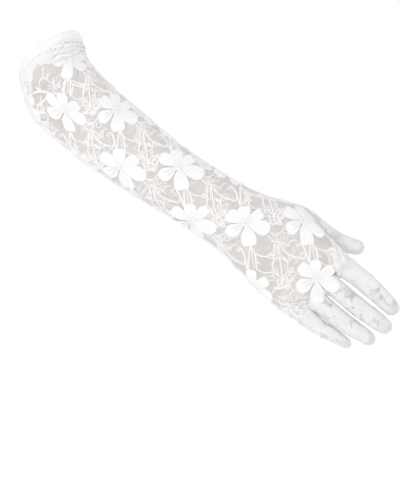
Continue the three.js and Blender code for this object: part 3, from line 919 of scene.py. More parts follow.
def flower_chart(random):
    """All parts of a flower as one chart. No two flowers are quite alike."""
    parts = []
    for number, (angle, reach, wide, square, notch, *rest) in enumerate(zip(*PETALS.values())):
        reach = reach * random.uniform(*REACH_VARIES)
        wide = wide * random.uniform(*WIDTH_VARIES)
        angle = angle + random.uniform(*TURN_VARIES)
        notch = notch * random.uniform(*NOTCH_VARIES)
        x, y, height, quads, shade = petal_chart(reach, wide, square, notch, *rest)
        lift = ODD_PETAL_LIFT * (number % 2)
        threads = np.column_stack([y, x])
        x, y = turned(x, y, angle)
        parts.append((x, y, height + lift, quads, threads, shade))
    x, y, height, quads, shade = centre_chart()
    parts.append((x, y, height, quads, np.column_stack([x, y]), shade))
    return join_charts(parts)


def join_charts(parts):
    """Several charts as one."""
    count, joined = 0, [[] for _ in range(6)]
    for x, y, height, quads, threads, shade in parts:
        for store, values in zip(joined, (x, y, height, quads + count, threads, shade)):
            store.append(values)
        count += len(x)
    return tuple(np.concatenate(values) for values in joined)


def smooth_path(points, step):
    """A smooth path through a few points, in even steps."""
    points = np.array(points, float)
    if len(points) > 2:
        knots = way_along(points)
        fine = np.linspace(0, knots[-1], len(points) * CORD_FINENESS)
        points = np.column_stack([read_column(knots, points[:, k], fine) for k in range(2)])
    way = way_along(points)
    count = max(3, int(way[-1] / step) + 2)
    even = np.linspace(0, way[-1], count)
    return np.column_stack([np.interp(even, way, points[:, k]) for k in range(2)]), even


def ribbon_chart(path, way, wides, across, rise, height):
    """A raised band along a path, as wide at each point as wides says."""
    ahead = unit(np.gradient(path, axis=0))
    side = np.column_stack([-ahead[:, 1], ahead[:, 0]])
    spread = across[None, :, None] * (wides / 2)[:, None, None] * side[:, None, :]
    flat = (path[:, None, :] + spread).reshape(-1, 2)
    narrow = np.minimum(wides, CORD_FULL_WIDE)[:, None] / CORD_FULL_WIDE
    heights = (narrow * height * rise[None, :]).ravel()
    threads = np.column_stack([np.tile(across, len(path)), np.repeat(way, len(across))])
    quads = grid_quads(len(path), len(across))
    return flat[:, 0], flat[:, 1], heights, quads, threads, np.ones(len(flat))


def cord_chart(wide, points, height=CORD_HEIGHT):
    """A cord through points, narrowed at its two ends."""
    path, way = smooth_path(points, CORD_STEP)
    ends = np.minimum(way, way[-1] - way)
    wides = wide * np.clip(CORD_ENDS_WIDE + ends / CORD_ENDS_OVER, CORD_ENDS_WIDE, 1)
    return ribbon_chart(path, way, wides, CORD_ACROSS, CORD_RISE, height)


def leaf_chart(x, y, angle, length, wide):
    """A slender leaf with a sunk midrib."""
    share = np.linspace(0, 1, LEAF_POINTS)
    bend = LEAF_BEND * length * np.sin(share * math.pi)
    dx, dy = turned(share * length, bend, angle)
    path = np.column_stack([x + dx, y + dy])
    wides = wide * np.clip(np.sin(math.pi * share**0.8), LEAF_TIP, 1) ** 0.7
    return ribbon_chart(path, share * length, wides, LEAF_ACROSS, LEAF_RISE, LEAF_HEIGHT)


def twig_charts(x, y, angle, length):
    """A short forked twig with a knot at each tip."""
    parts = [cord_chart(TWIG_WIDE, [(x, y), end_of(x, y, angle, length)], TWIG_HEIGHT)]
    for share, side, reach in TWIG_FORKS:
        root = end_of(x, y, angle, length * share)
        tip = end_of(*root, angle + side, length * reach)
        parts.append(cord_chart(FORK_WIDE, [root, tip], FORK_HEIGHT))
        parts.append(bud_chart(*tip, FORK_KNOT))
    parts.append(bud_chart(*end_of(x, y, angle, length), TWIG_KNOT))
    return parts


def from_to(x, y, to_x, to_y):
    """A place, the way from it to another place, in degrees, and how far that is."""
    return x, y, math.degrees(math.atan2(to_y - y, to_x - x)), math.hypot(to_x - x, to_y - y)


def end_of(x, y, angle, length):
    """Where a straight line from a point ends."""
    dx, dy = turned(length, 0, angle)
    return x + dx, y + dy


def bud_chart(x, y, size):
    """A small round knot."""
    turn = np.arange(KNOT_SIDES + 1) * 2 * math.pi / KNOT_SIDES
    rings = KNOT_RINGS[:, None] * size
    px = x + (rings * np.cos(turn)).ravel()
    py = y + (rings * np.sin(turn)).ravel()
    height = np.repeat(KNOT_HEIGHTS, len(turn))
    threads = np.column_stack([px, py])
    return px, py, height, grid_quads(len(rings), len(turn)), threads, np.ones(len(px))


def loop_chart(x, y, wide, tall, angle, cord=RING_CORD):
    """A closed ring of cord."""
    turn = np.linspace(0, 2 * math.pi, RING_POINTS)
    px, py = turned(wide * np.cos(turn), tall * np.sin(turn), angle)
    path = np.column_stack([px + x, py + y])
    wides = np.full(RING_POINTS, cord)
    return ribbon_chart(path, way_along(path), wides, CORD_ACROSS, CORD_RISE, RING_HEIGHT)


def in_cell(corners, s, t):
    """A place in a cell, in millimetres from the flower above it."""
    s, t = s / 100, t / 100
    shares = ((1 - s) * (1 - t), s * (1 - t), (1 - s) * t, s * t)
    return tuple(sum(share * corner[k] for share, corner in zip(shares, corners)) for k in (0, 1))


def stems_chart(corners):
    """All stems in the cell between four flowers, as one chart."""
    parts = []
    for wide, points in CELL_CORDS:
        parts.append(cord_chart(wide, [in_cell(corners, *point) for point in points]))
    for s, t, wide, tall, angle in CELL_RINGS:
        parts.append(loop_chart(*in_cell(corners, s, t), wide, tall, angle))
    for s, t, to_s, to_t, wide in CELL_LEAVES:
        parts.append(leaf_chart(*from_to(*in_cell(corners, s, t), *in_cell(corners, to_s, to_t)), wide))
    for s, t, to_s, to_t in CELL_TWIGS:
        parts += twig_charts(*from_to(*in_cell(corners, s, t), *in_cell(corners, to_s, to_t)))
    for s, t, size in CELL_KNOTS:
        parts.append(bud_chart(*in_cell(corners, s, t), size))
    return join_charts(parts)


class Cover:
    """Marks which places on a tube's cloth a motif covers, on a fine grid."""

    def __init__(self, tube):
        girth, to_back = tube.girth(np.linspace(0, tube.length, GIRTHS_READ))
        self.low = -to_back.max() - COVER_MARGIN
        wide = (girth - to_back).max() + COVER_MARGIN - self.low
        rows = int(wide / COVER_CELL) + 1
        columns = int((tube.length + COVER_PAST_END) / COVER_CELL) + 1
        self.marks = np.zeros((rows, columns), bool)
        self.waiting = []

    def cells(self, way, down):
        """The cell of each place."""
        i = np.clip(((way - self.low) / COVER_CELL).astype(int), 0, self.marks.shape[0] - 1)
        j = np.clip((down / COVER_CELL).astype(int), 0, self.marks.shape[1] - 1)
        return i, j

    def add(self, way, down, quads):
        """Marks all that some faces cover."""
        for u in np.linspace(0, 1, COVER_SAMPLES):
            for v in np.linspace(0, 1, COVER_SAMPLES):
                shares = np.array([(1 - u) * (1 - v), u * (1 - v), u * v, (1 - u) * v])
                self.marks[self.cells(way[quads] @ shares, down[quads] @ shares)] = True

    def settle_waiting(self):
        """Counts the motifs laid so far as cover for what comes next."""
        for way, down, quads in self.waiting:
            self.add(way, down, quads)
        self.waiting = []

    def over(self, way, down):
        """Which places are covered."""
        return self.marks[self.cells(way, down)]


def place_chart(laces, partings, tube, cover, chart, way, at, finish, keep):
    """Lays a chart on a tube's cloth with its origin at a place, in one piece for each stretch
    between the partings. What earlier motifs hide is left out."""
    x, y, height, quads, threads, shades = chart
    first = MOTIFS_FROM if tube is mitten else 0
    quads = quads[(at - y > first)[quads].any(axis=1)]
    down = np.maximum(at - y, first)
    places, normals, moved, inside = lay(tube, way + x, down)
    good = (moved < MOST_MOVE) & keep(places)
    quads = quads[good[quads].all(axis=1) & inside[quads].any(axis=1)]
    # Painted shade in the creases, half as strong on the motifs
    if tube is mitten:
        shades = shades * crease_painted_shade(way + x, down) ** 0.5
    hidden = cover.over(way + x, down)
    quads = quads[~hidden[quads].all(axis=1)]
    if not len(quads):
        return
    points = places + normals * (LACE_LIFT + height)[:, None]
    edge_one = points[quads[:, 1]] - points[quads[:, 0]]
    edge_two = points[quads[:, 3]] - points[quads[:, 0]]
    if dot(np.cross(edge_one, edge_two), normals[quads[:, 0]]).sum() < 0:
        quads = quads[:, ::-1]
    stretch = np.searchsorted(partings, down[quads[:, 0]])
    for number, lace in enumerate(laces):
        lace.add(points, quads[stretch == number], threads, shades, finish)
    cover.waiting.append((way + x, down, quads))


def finger_flower(random, size, angle):
    """A flat flower for the fingers, with a cord round each petal: smaller, and turned."""
    x, y, height, quads, threads, shades = flower_chart(random)
    shades = FINE_SHADE - (1 - shades) * FAINTER
    parts = [(x * size, y * size, height * size * FLATTER, quads, threads * size, shades)]
    for petal_angle, reach, wide in zip(PETALS["angle"], PETALS["reach"], PETALS["wide"]):
        half = (reach - PETAL_STARTS) * size / 2
        middle = end_of(0, 0, petal_angle, PETAL_STARTS * size + half)
        side = wide * size * LOOP_SIDE
        x, y, height, *rest = loop_chart(*middle, half, side, petal_angle, FINGER_CORD)
        parts.append((x, y, height * LOOP_FLATTER + LOOP_LIFT, *rest))
    x, y, *rest = join_charts(parts)
    return *turned(x, y, angle), *rest


def row_flowers(row, margin):
    """The flowers of a row on the cloth, or off it by a margin at most: how far round each is."""
    girth, to_back = mitten.girth(down_at(mitten, FLOWER_ROWS["height"][row]))
    steps = np.arange(-FLOWERS_ASIDE, FLOWERS_ASIDE + 1)
    ways = FLOWER_ROWS["way"][row] + FLOWER_ROWS["step"][row] * steps
    return ways[(ways > -to_back - margin) & (ways < girth - to_back + margin)]


def cell_corners(row, way):
    """The four flowers of a cell, from its upper one: the way round and the way up from it."""
    heights, ways, steps, _, _ = FLOWER_ROWS.values()
    at, next_at, last_at = (down_at(mitten, height) for height in heights[row : row + 3])
    right = ways[row + 1] + steps[row + 1] * math.ceil((way - ways[row + 1]) / steps[row + 1])
    left = right - steps[row + 1]
    below = ways[row + 2] + steps[row + 2] * round((way - ways[row + 2]) / steps[row + 2])
    return (0, 0), (right - way, at - next_at), (left - way, at - next_at), (below - way, at - last_at)


def lattice(tube, first, last, pitch, random):
    """The corners of a net laid out flat, and the pairs of corners that its strands join."""
    girth, to_back = tube.girth(np.linspace(first, last, GIRTHS_READ))
    low, high = -to_back.max() - pitch, (girth - to_back).max() + pitch
    row_step = pitch * math.sqrt(3) / 2
    rows, columns = int((last - first) / row_step) + 3, int((high - low) / pitch) + 3
    j, i = np.mgrid[0:rows, 0:columns]
    way = low + i * pitch + (j % 2) * pitch / 2
    at = first + (j - 1) * row_step
    reach = pitch / math.sqrt(3)
    ways = np.concatenate([way.ravel(), way.ravel()])
    ats = np.concatenate([(at - reach).ravel(), (at + reach).ravel()])
    wave = 0.12 * np.sin(ways * 0.31 + 0.7 * np.sin(ats * 0.17)) + 0.1 * np.sin(ats * 0.43 + ways * 0.11)
    ways = ways + wave + random.normal(0, NET_WOBBLE, len(ways))
    ats = ats + random.normal(0, NET_WOBBLE, len(ats))
    j, i = j[1:-1, 1:-1].ravel(), i[1:-1, 1:-1].ravel()
    left = np.where(j % 2 == 0, i - 1, i)
    upper, lower = j * columns + i, rows * columns + j * columns + i
    upper_left = rows * columns + (j - 1) * columns + left
    lower_left = (j + 1) * columns + left
    strands = np.concatenate([
        np.column_stack([upper, upper_left]),
        np.column_stack([upper_left, lower_left]),
        np.column_stack([lower_left, lower]),
    ])
    return ways, ats, strands


def net(tube, part, first, last, pitch, yarn, cover, seed):
    """Strands of net on one tube: their points and shades, and the way round and down to each."""
    random = np.random.default_rng(seed)
    ways, ats, strands = lattice(tube, first, last, pitch, random)
    middle_way, middle_at = ways[strands].mean(axis=1), ats[strands].mean(axis=1)
    girth, to_back = tube.girth(np.clip(middle_at, 0, tube.length))
    share = (middle_way + to_back) / np.maximum(girth, LEAST_GIRTH)
    good = (share > -NET_EDGE) & (share < 1 + NET_EDGE) & (middle_at > first) & (middle_at < last)
    strands, middle_way, middle_at = strands[good], middle_way[good], middle_at[good]
    hidden = cover.over(ways, ats)[strands].all(axis=1) & cover.over(middle_way, middle_at)
    strands, middle_way, middle_at = strands[~hidden], middle_way[~hidden], middle_at[~hidden]
    used, strands = np.unique(strands, return_inverse=True)
    strands = strands.reshape(-1, 2)
    places, normals, _, _ = lay(tube, ways[used], ats[used])
    good = owned(places, part, NET_SLACK)[strands].any(axis=1)
    strands, middle_way, middle_at = strands[good], middle_way[good], middle_at[good]
    one, two = places[strands[:, 0]], places[strands[:, 1]]
    ahead = unit(two - one)
    one, two = one - ahead * STRAND_LAP, two + ahead * STRAND_LAP
    points = []
    for place, normal in ((one, normals[strands[:, 0]]), (two, normals[strands[:, 1]])):
        side = unit(np.cross(normal, ahead)) * yarn / 2
        points.append(place - side + normal * LACE_LIFT)
        points.append(place + normal * (LACE_LIFT + NET_RISE))
        points.append(place + side + normal * LACE_LIFT)
    points = np.stack(points, axis=1)
    shades = random.uniform(*NET_SHADES, len(strands))
    clouds = np.sin(middle_way * 0.9 + 2 * np.sin(middle_at * 0.31))
    shades = shades + NET_CLOUDS * (clouds * np.sin(middle_at * 0.8 + middle_way * 0.2))
    # Painted shade in the creases of the sleeve
    if tube is arm:
        shades = shades * crease_painted_shade(middle_way, middle_at)
    return points, np.repeat(shades, STRAND_POINTS), middle_way, middle_at


def add_net(lace, points, shades, chosen, finish):
    """Adds the chosen strands of a net to a piece."""
    count = int(chosen.sum())
    faces = (np.arange(count)[:, None, None] * STRAND_POINTS + STRAND_FACES[None, :, :]).reshape(-1, 4)
    flat = points[chosen].reshape(-1, 3)
    shades = shades.reshape(-1, STRAND_POINTS)[chosen].ravel()
    lace.add(flat, faces, np.zeros((len(flat), 2)), shades, finish)


def owned(places, part, slack):
    """Which places are nearer to one tube than to all others."""
    below = places[:, 2] < BLENDS_BELOW_Z
    mine = np.ones(len(places), bool)
    if not below.any():
        return mine if part == "arm" else ~mine
    parts = distances_of(places[below])
    own = parts.pop(part)
    mine[below] = own <= np.min(list(parts.values()), axis=0) + slack
    return mine


PARTING_AT = down_at(arm, PARTING_Z)
WRIST_AT = down_at(arm, 0)


def sleeve_piece(at):
    """Which piece of the sleeve or the hand a flower belongs to, by the way down to it."""
    if at < PARTING_AT + PARTING_SLACK:
        return "upper_sleeve"
    return "lower_sleeve" if at < WRIST_AT else "hand"


pieces_of_lace = {name: Lace() for name in ("upper_sleeve", "lower_sleeve", "hand", *tubes)}


def strip_end(way):
    """How far down the strip under the hem goes at each way round, with a wavy edge."""
    return np.interp(way, *STRIP_ENDS.values()) + STRIP_WAVE * np.sin(way * 0.9)


def under_strip(way, down):
    """Where the net is still close and darkened with painted shade, under the short end of the strip on
    the back of the arm.
    """
    near = np.abs(way - CLOSE_WAY) < CLOSE_REACH
    return (down >= strip_end(way)) & (down < STRIP_END - STRIP_LAP) & near


flower_random = np.random.default_rng(SEED)
arm_cover = Cover(mitten)
arm_laces = [pieces_of_lace[name] for name in ("upper_sleeve", "lower_sleeve", "hand")]
upper_lace, lower_lace, hand_lace = arm_laces


def place_on_arm(laces, partings, chart, way, down, finish, low=STEMS_END_Z):
    """Lays a chart on the sleeve and the hand, and keeps what is above a height."""

    def above(places):
        return places[:, 2] > low

    place_chart(laces, partings, mitten, arm_cover, chart, way, down, finish, above)


for row, height in enumerate(FLOWER_ROWS["height"]):
    at = down_at(mitten, height)
    lace = pieces_of_lace[sleeve_piece(at)]
    for way in row_flowers(row, ROW_MARGIN):
        x, y, *rest = flower_chart(flower_random)
        flower = (x * FLOWER_ROWS["wide"][row], y * FLOWER_ROWS["tall"][row], *rest)
        end = KNUCKLE_PETALS_END_Z if height >= KNUCKLE_FLOWER_Z else LAST_PETALS_END_Z
        place_on_arm([lace], (), flower, way, at, PETAL, end)
arm_cover.settle_waiting()
for way, down, size in HEM_EYELETS:
    place_on_arm([], (), bud_chart(0, 0, size), way, down, CORD)
    place_on_arm([upper_lace], (), loop_chart(0, 0, size, size, 0, EYELET_RING), way, down, CORD)
arm_cover.settle_waiting()
hem_stems = [cord_chart(wide, [(way, -down) for way, down in path]) for wide, path in HEM_CORDS]
hem_stems += [loop_chart(way, -down, size, size, 0) for way, down, size in HEM_RINGS]
hem_stems += [leaf_chart(way, -down, *shape) for way, down, *shape in HEM_LEAVES]
place_on_arm([upper_lace], (), join_charts(hem_stems), 0, 0, CORD)
for row, height in enumerate(FLOWER_ROWS["height"][:-2]):
    at = down_at(mitten, height)
    for way in row_flowers(row, FLOWER_ROWS["step"][row]):
        if row >= HEM_CELL_ROWS or abs(way) >= HEM_CELL_GAP:
            stems = stems_chart(cell_corners(row, way))
            place_on_arm(arm_laces, (PARTING_AT, WRIST_AT), stems, way, at, CORD)
arm_cover.settle_waiting()

net_from = HEM_HEIGHT - 1
points, shades, way, down = net(arm, "arm", net_from, arm.length, NET_PITCH, NET_YARN, arm_cover, SEED)
under_hem = down < strip_end(way)
# Painted shade on the net under the short end of the strip
shades = np.where(np.repeat(under_strip(way, down), STRAND_POINTS), shades * CLOSE_PAINTED_SHADE, shades)
add_net(upper_lace, points, shades, under_hem, STRIP)
add_net(upper_lace, points, shades, (down < PARTING_AT) & ~under_hem, NET)
add_net(lower_lace, points, shades, (down >= PARTING_AT) & (down < WRIST_AT), NET)
add_net(hand_lace, points, shades, down >= WRIST_AT, NET)
# The strip has a second, closer net; under its short end it is darkened with painted shade
points, shades, way, down = net(arm, "arm", net_from, STRIP_END, STRIP_PITCH, STRIP_YARN, arm_cover, 0)
add_net(upper_lace, points, shades, down < strip_end(way), STRIP)
add_net(upper_lace, points, shades * CLOSE_PAINTED_SHADE, under_strip(way, down), NET)


def dress_finger(name, tube, seed):
    """The flowers, leaves and net of a finger or the thumb."""
    lace = pieces_of_lace[name]
    cover = Cover(tube)
    random = np.random.default_rng(seed)

    def on_finger(places):
        return owned(places, name, FINGER_SLACK)

    for height, way, size, angle in FINGER_FLOWERS[name]:
        flower = finger_flower(random, size, angle)
        place_chart([lace], (), tube, cover, flower, way, down_at(tube, height), FINE, on_finger)
    cover.settle_waiting()
    for part, way, angle, length, wide in FINGER_LEAVES:
        leaf = leaf_chart(0, 0, angle, length, wide)
        place_chart([lace], (), tube, cover, leaf, way, part * tube.length, FINE, on_finger)
    cover.settle_waiting()
    end = tube.length - FINGER_NET_SHORT
    strands = net(tube, name, FINGER_NET_FROM, end, FINGER_NET_PITCH, FINGER_YARN, cover, seed)
    points, shades = strands[:2]
    middles = np.repeat(points.mean(axis=1), STRAND_POINTS, axis=0)
    # Spots of painted shade on the net
    for x, z, size, depth in PAINTED_SHADE_SPOTS:
        away = np.hypot(middles[:, 0] - x, middles[:, 2] - z) / size
        shades = shades * (1 - depth * ramp(OPEN_TO - away))
    add_net(lace, points, shades, np.ones(len(points), bool), FINE)


for number, (name, tube) in enumerate(tubes.items()):
    dress_finger(name, tube, SEED + number + 1)

# Finishes

# The yarn's blotches and how light the darkest of them are, its fuzz and how much of the relief is
# fuzz, the step at which a wave texture of scale 1 repeats, and the height of the relief in metres
BLOTCH_SCALE = 90.0
BLOTCH_LEAST = 0.93
FUZZ_SCALE = 2600.0
FUZZ_SHARE = 0.35
WAVE_REPEATS = 0.314
RELIEF = 0.0002
# Each yarn: its colour, its colour where its painted shade and random tone are darkest, how wide its
# threads are in millimetres and how many degrees they slant, how strongly they stand out, how rough
# it is and how much sheen it has
YARNS = {
    # The net's yarn is warm grey, not white: painted shade for the shaded inside of the glove, and the
    # tone of skin, seen through the net
    "net_yarn": ((0.84, 0.805, 0.79), (0.6, 0.56, 0.55), 0, 0, 0.3, 0.75, 0.7),
    "petal_yarn": ((0.93, 0.925, 0.92), (0.62, 0.59, 0.58), 0.5, 90, 0.55, 0.6, 0.35),
    "cord_yarn": ((0.95, 0.935, 0.925), (0.66, 0.63, 0.62), 0.45, 35, 0.5, 0.62, 0.5),
    "strip_yarn": ((0.88, 0.885, 0.9), (0.58, 0.58, 0.6), 0, 0, 0.3, 0.75, 0.5),
    "finger_yarn": ((0.93, 0.925, 0.92), (0.5, 0.465, 0.455), 0.4, 90, 0.6, 0.65, 0.5),
    "hem_knit": ((0.86, 0.87, 0.89), (0.62, 0.63, 0.65), 0.55, 0, 0.35, 0.55, 0.2),
    "seam_thread": ((0.93, 0.92, 0.915), (0.6, 0.58, 0.57), 0.35, 30, 0.4, 0.5, 0.3),
}


def set_inputs(tree, node, inputs):
    """Sets inputs of a node. Each is a value, the socket that feeds it, or a node whose first does."""
    for key, value in inputs.items():
        if isinstance(value, bpy.types.Node):
            value = value.outputs[0]
        if isinstance(value, bpy.types.NodeSocket):
            tree.links.new(value, node.inputs[key])
        else:
            node.inputs[key].default_value = value


def add_node(tree, kind, inputs=None, **properties):
    """A node in a tree, with its properties and its inputs set."""
    node = tree.nodes.new(kind)
    for key, value in properties.items():
        setattr(node, key, value)
    set_inputs(tree, node, inputs or {})
    return node


def new_finish(name):
    """A new material, with its node tree and its shader."""
    material = bpy.data.materials.new(name)
    material.use_nodes = True
    return material, material.node_tree, material.node_tree.nodes["Principled BSDF"]


def thread_finish(name, colour, dark, thread_wide, slant, strength, roughness, sheen):
    """Matt white yarn: threads that follow the piece, uneven in shade, darker with the painted shade and
    random tone of its shade attribute.
    """
    material, tree, shader = new_finish(name)
    place = add_node(tree, "ShaderNodeTexCoord").outputs
    noise = {"Vector": place["Object"], "Scale": BLOTCH_SCALE, "Detail": 3.0}
    blotch = add_node(tree, "ShaderNodeTexNoise", noise).outputs["Fac"]
    noise = {"Vector": place["Object"], "Scale": FUZZ_SCALE, "Detail": 2.0}
    height = add_node(tree, "ShaderNodeTexNoise", noise).outputs["Fac"]
    # The shade attribute: painted shade in hollows, creases and spots, and random tone
    sunk = add_node(tree, "ShaderNodeAttribute", attribute_name="shade").outputs["Fac"]
    uneven = add_node(tree, "ShaderNodeMapRange", {"Value": blotch, "To Min": BLOTCH_LEAST})
    light = add_node(tree, "ShaderNodeMath", {0: sunk, 1: uneven}, operation="MULTIPLY")
    colours = {"Factor": light, "A": (*dark, 1), "B": (*colour, 1)}
    tint = add_node(tree, "ShaderNodeMix", colours, data_type="RGBA")
    if thread_wide:
        slanted = {"Vector": place["UV"], "Rotation": (0, 0, math.radians(slant))}
        wave = {
            "Vector": add_node(tree, "ShaderNodeMapping", slanted),
            "Scale": WAVE_REPEATS / thread_wide,
            "Distortion": 1.2,
            "Detail": 2.0,
            "Detail Scale": 1.5,
        }
        threads = add_node(tree, "ShaderNodeTexWave", wave).outputs["Fac"]
        both = {0: height, 1: FUZZ_SHARE, 2: threads}
        height = add_node(tree, "ShaderNodeMath", both, operation="MULTIPLY_ADD")
    relief = {"Height": height, "Strength": strength, "Distance": RELIEF}
    set_inputs(tree, shader, {
        "Base Color": tint.outputs["Result"],
        "Roughness": roughness,
        "Sheen Weight": sheen,
        "Sheen Roughness": 0.5,
        "Specular IOR Level": 0.35,
        "Normal": add_node(tree, "ShaderNodeBump", relief),
    })
    return material


yarns = {name: thread_finish(name, *values) for name, values in YARNS.items()}
for name, lace in pieces_of_lace.items():
    used = ["finger_yarn"] if name in tubes else ["net_yarn", "petal_yarn", "cord_yarn"]
    if name == "upper_sleeve":
        used.append("strip_yarn")
    lace.make(f"lace_{name}", [yarns[yarn] for yarn in used])

# The hem: an elastic band under a smooth fold of cloth, slightly puckered by its stitches

HEM_OUT = 0.6
HEM_IN = 1.3
HEM_COLUMNS = 220
HEM_OUTER_ROW = 5
HEM_STITCH_AT = 7.1
HEM_STITCH_OUT = HEM_OUT - 0.34
HEM_STITCH_POINTS = 241
HEM_GIRTH = 238
# How light the band is, and how much painted shade darkens the hollows of its puckers
HEM_SHADE = 0.97
PUCKER_PAINTED_SHADE = 0.5
# The fold's section: the way down from the rim, how far out it stands, and how much it puckers
HEM_FOLD = table("down out pucker", [
    [0.9, -HEM_IN, 0],
    [0.3, -HEM_IN + 0.3, 0],
    [0.06, -0.6, 0],
    [0.06, 0.0, 0],
    [0.35, 0.42, 0.2],
    [1.2, HEM_OUT, 0.5],
    [2.6, HEM_OUT + 0.1, 0.8],
    [4.2, HEM_OUT + 0.08, 1],
    [5.6, HEM_OUT, 1],
    [6.6, HEM_OUT - 0.16, 0.8],
    [HEM_STITCH_AT, HEM_OUT - 0.42, 0.3],
    [7.6, HEM_OUT - 0.2, 0.9],
    [8.4, HEM_OUT - 0.22, 1.2],
    [8.9, 0.1, 1],
    [8.95, -0.35, 0.5],
    [8.6, -0.75, 0],
    [6.5, -HEM_IN, 0],
    [3.6, -HEM_IN, 0],
])


def ring_places(tube, share, down):
    """Places and normals at a share of the way round, from the little-finger side over the back."""
    girth, to_back = tube.girth(down)
    places, normals, _, _ = lay(tube, share * girth - to_back, down)
    return places, normals


def hem_band():
    """The band as a closed ring of cloth."""
    share = np.arange(HEM_COLUMNS) / HEM_COLUMNS
    rows = len(HEM_FOLD["down"])
    shares = np.tile(share, rows)
    downs = np.repeat(HEM_FOLD["down"], HEM_COLUMNS)
    places, normals = ring_places(arm, shares, downs)
    turn = shares * 2 * math.pi
    pucker = 0.07 * np.sin(turn * 47 + 1.3 * np.sin(turn * 5))
    pucker = pucker + 0.06 * np.sin(turn * 29 + 2 * np.sin(turn * 3))
    pucker = pucker + 0.12 * np.sin(turn * 7 + 0.6)
    out = np.repeat(HEM_FOLD["out"], HEM_COLUMNS) + pucker * np.repeat(HEM_FOLD["pucker"], HEM_COLUMNS)
    points = places + normals * out[:, None]
    row, column = np.mgrid[0:rows, 0:HEM_COLUMNS]
    corner = (row * HEM_COLUMNS + column).ravel()
    beside = (row * HEM_COLUMNS + (column + 1) % HEM_COLUMNS).ravel()
    below = ((row + 1) % rows * HEM_COLUMNS + column).ravel()
    across = ((row + 1) % rows * HEM_COLUMNS + (column + 1) % HEM_COLUMNS).ravel()
    quads = np.column_stack([corner, beside, across, below])
    test = quads[HEM_OUTER_ROW * HEM_COLUMNS]
    facing = np.cross(points[test[1]] - points[test[0]], points[test[3]] - points[test[0]])
    if facing @ normals[test[0]] < 0:
        quads = quads[:, ::-1]
    threads = np.column_stack([shares * HEM_GIRTH, downs])
    band = Lace()
    # Painted shade in the hollows of the puckers
    band.add(points, quads, threads, HEM_SHADE + PUCKER_PAINTED_SHADE * np.clip(pucker, -0.2, 0), 0)
    return band.make("hem_band", [yarns["hem_knit"]])


hem = hem_band()

# Seams

# The steps at which seams are read from the cloth and then laid, and the rounds that work out kinks
SIDE_READ = 1.5
SIDE_STEP = 1.2
SIDE_ROUNDS = 6
FINGER_STEP = 1.0
FINGER_ROUNDS = 3
THUMB_ROUNDS = 4
SEAM_WIDE = 1.5
SEAM_HEIGHT = 0.42
SEAM_SWELL = 0.12
SEAM_ACROSS = np.array([-1, -0.62, 0, 0.62, 1])
SEAM_RISE = np.array([-0.1, 0.8, 1, 0.8, -0.1])
# Where the side seam leaves the arm and where it is on the little finger, and where the seams of the
# fingers and of the thumb start
SIDE_LEAVES_Z = -98
SIDE_ARRIVES_Z = -112
FINGER_SEAM_Z = -118
THUMB_SEAM_Z = -64
# The ways down the thumb between which its root is, and the lines along it that are followed
THUMB_ROOT = np.arange(6, 78, 0.75)
THUMB_LINES = 72
# The sewn edges inside the side seam: how far in and how far aside their section goes, and its wave
FIN_INWARDS = np.array([0.9, 1.6, 2.6, 3.1, 2.6, 1.6, 0.9])
FIN_ASIDE = np.array([0.4, 0.42, 0.4, 0, -0.4, -0.42, -0.4])
FIN_WAVE = 0.18


def add_strip(lace, points, across, way, closed=False):
    """Adds rows of points along a path to a piece, with their ways across it and along it."""
    quads = grid_quads(len(way), len(across))
    if closed:
        first = np.arange(len(across) - 1)
        last = first + (len(way) - 1) * len(across)
        quads = np.concatenate([quads, np.column_stack([last, first, first + 1, last + 1])])
    threads = np.column_stack([np.tile(across, len(way)), np.repeat(way, len(across))])
    lace.add(points.reshape(-1, 3), quads, threads, np.ones(len(threads)), 0)


def seam_band(lace, places, normals, closed=False):
    """A raised, slightly wavy seam along a path on the cloth."""
    if closed:
        ahead = unit(np.roll(places, -1, axis=0) - np.roll(places, 1, axis=0))
    else:
        ahead = unit(np.gradient(places, axis=0))
    side = unit(np.cross(normals, ahead))
    way = way_along(places)
    across = SEAM_ACROSS * SEAM_WIDE / 2
    swell = 1 + SEAM_SWELL * np.sin(way * 2.1)
    points = places[:, None, :] + side[:, None, :] * (across[None, :] * swell[:, None])[:, :, None]
    points = points + normals[:, None, :] * (SEAM_RISE * SEAM_HEIGHT)[None, :, None]
    add_strip(lace, points, across, way, closed)


def even_path(places, step):
    """The same path in even steps."""
    way = way_along(places)
    even = np.linspace(0, way[-1], int(way[-1] / step) + 2)
    return np.column_stack([np.interp(even, way, places[:, k]) for k in range(3)])


def smoothed(places, rounds):
    """A path with its kinks worked out, its ends kept."""
    places = places.copy()
    for _ in range(rounds):
        places[1:-1] = (places[:-2] + 2 * places[1:-1] + places[2:]) / 4
    return places


def side_path():
    """Down the little-finger side, from the hem to the little finger."""
    down = np.arange(HEM_HEIGHT - 0.4, down_at(arm, SIDE_LEAVES_Z), SIDE_READ)
    upper, _ = ring_places(arm, np.zeros(len(down)), down)
    little = tubes["little_finger"]
    down = np.arange(down_at(little, SIDE_ARRIVES_Z), little.length - 4, SIDE_READ)
    lower, _ = ring_places(little, np.zeros(len(down)), down)
    places = even_path(np.concatenate([upper, lower]), SIDE_STEP)
    return on_glove(smoothed(places, SIDE_ROUNDS))


def on_glove(places):
    """A path brought on to the glove's surface, with the normals there."""
    middle = arm.read(np.interp(-places[:, 2], -arm.middle[:, 2], arm.at))[:, 0:3]
    outwards = unit((places - middle) * np.array([1, 1, 0]))
    return settle(places, outwards)


def finger_path(tube, first_z):
    """Along both sides of a finger and over its tip."""
    down = np.arange(down_at(tube, first_z), tube.length - 0.4, FINGER_STEP)
    middle, across, _, wide, _, _ = tube.frames(down)
    thumb_side = middle + across * wide[:, None]
    little_side = middle - across * wide[:, None]
    places = np.concatenate([thumb_side, little_side[::-1]])
    return on_glove(smoothed(even_path(places, FINGER_STEP), FINGER_ROUNDS))


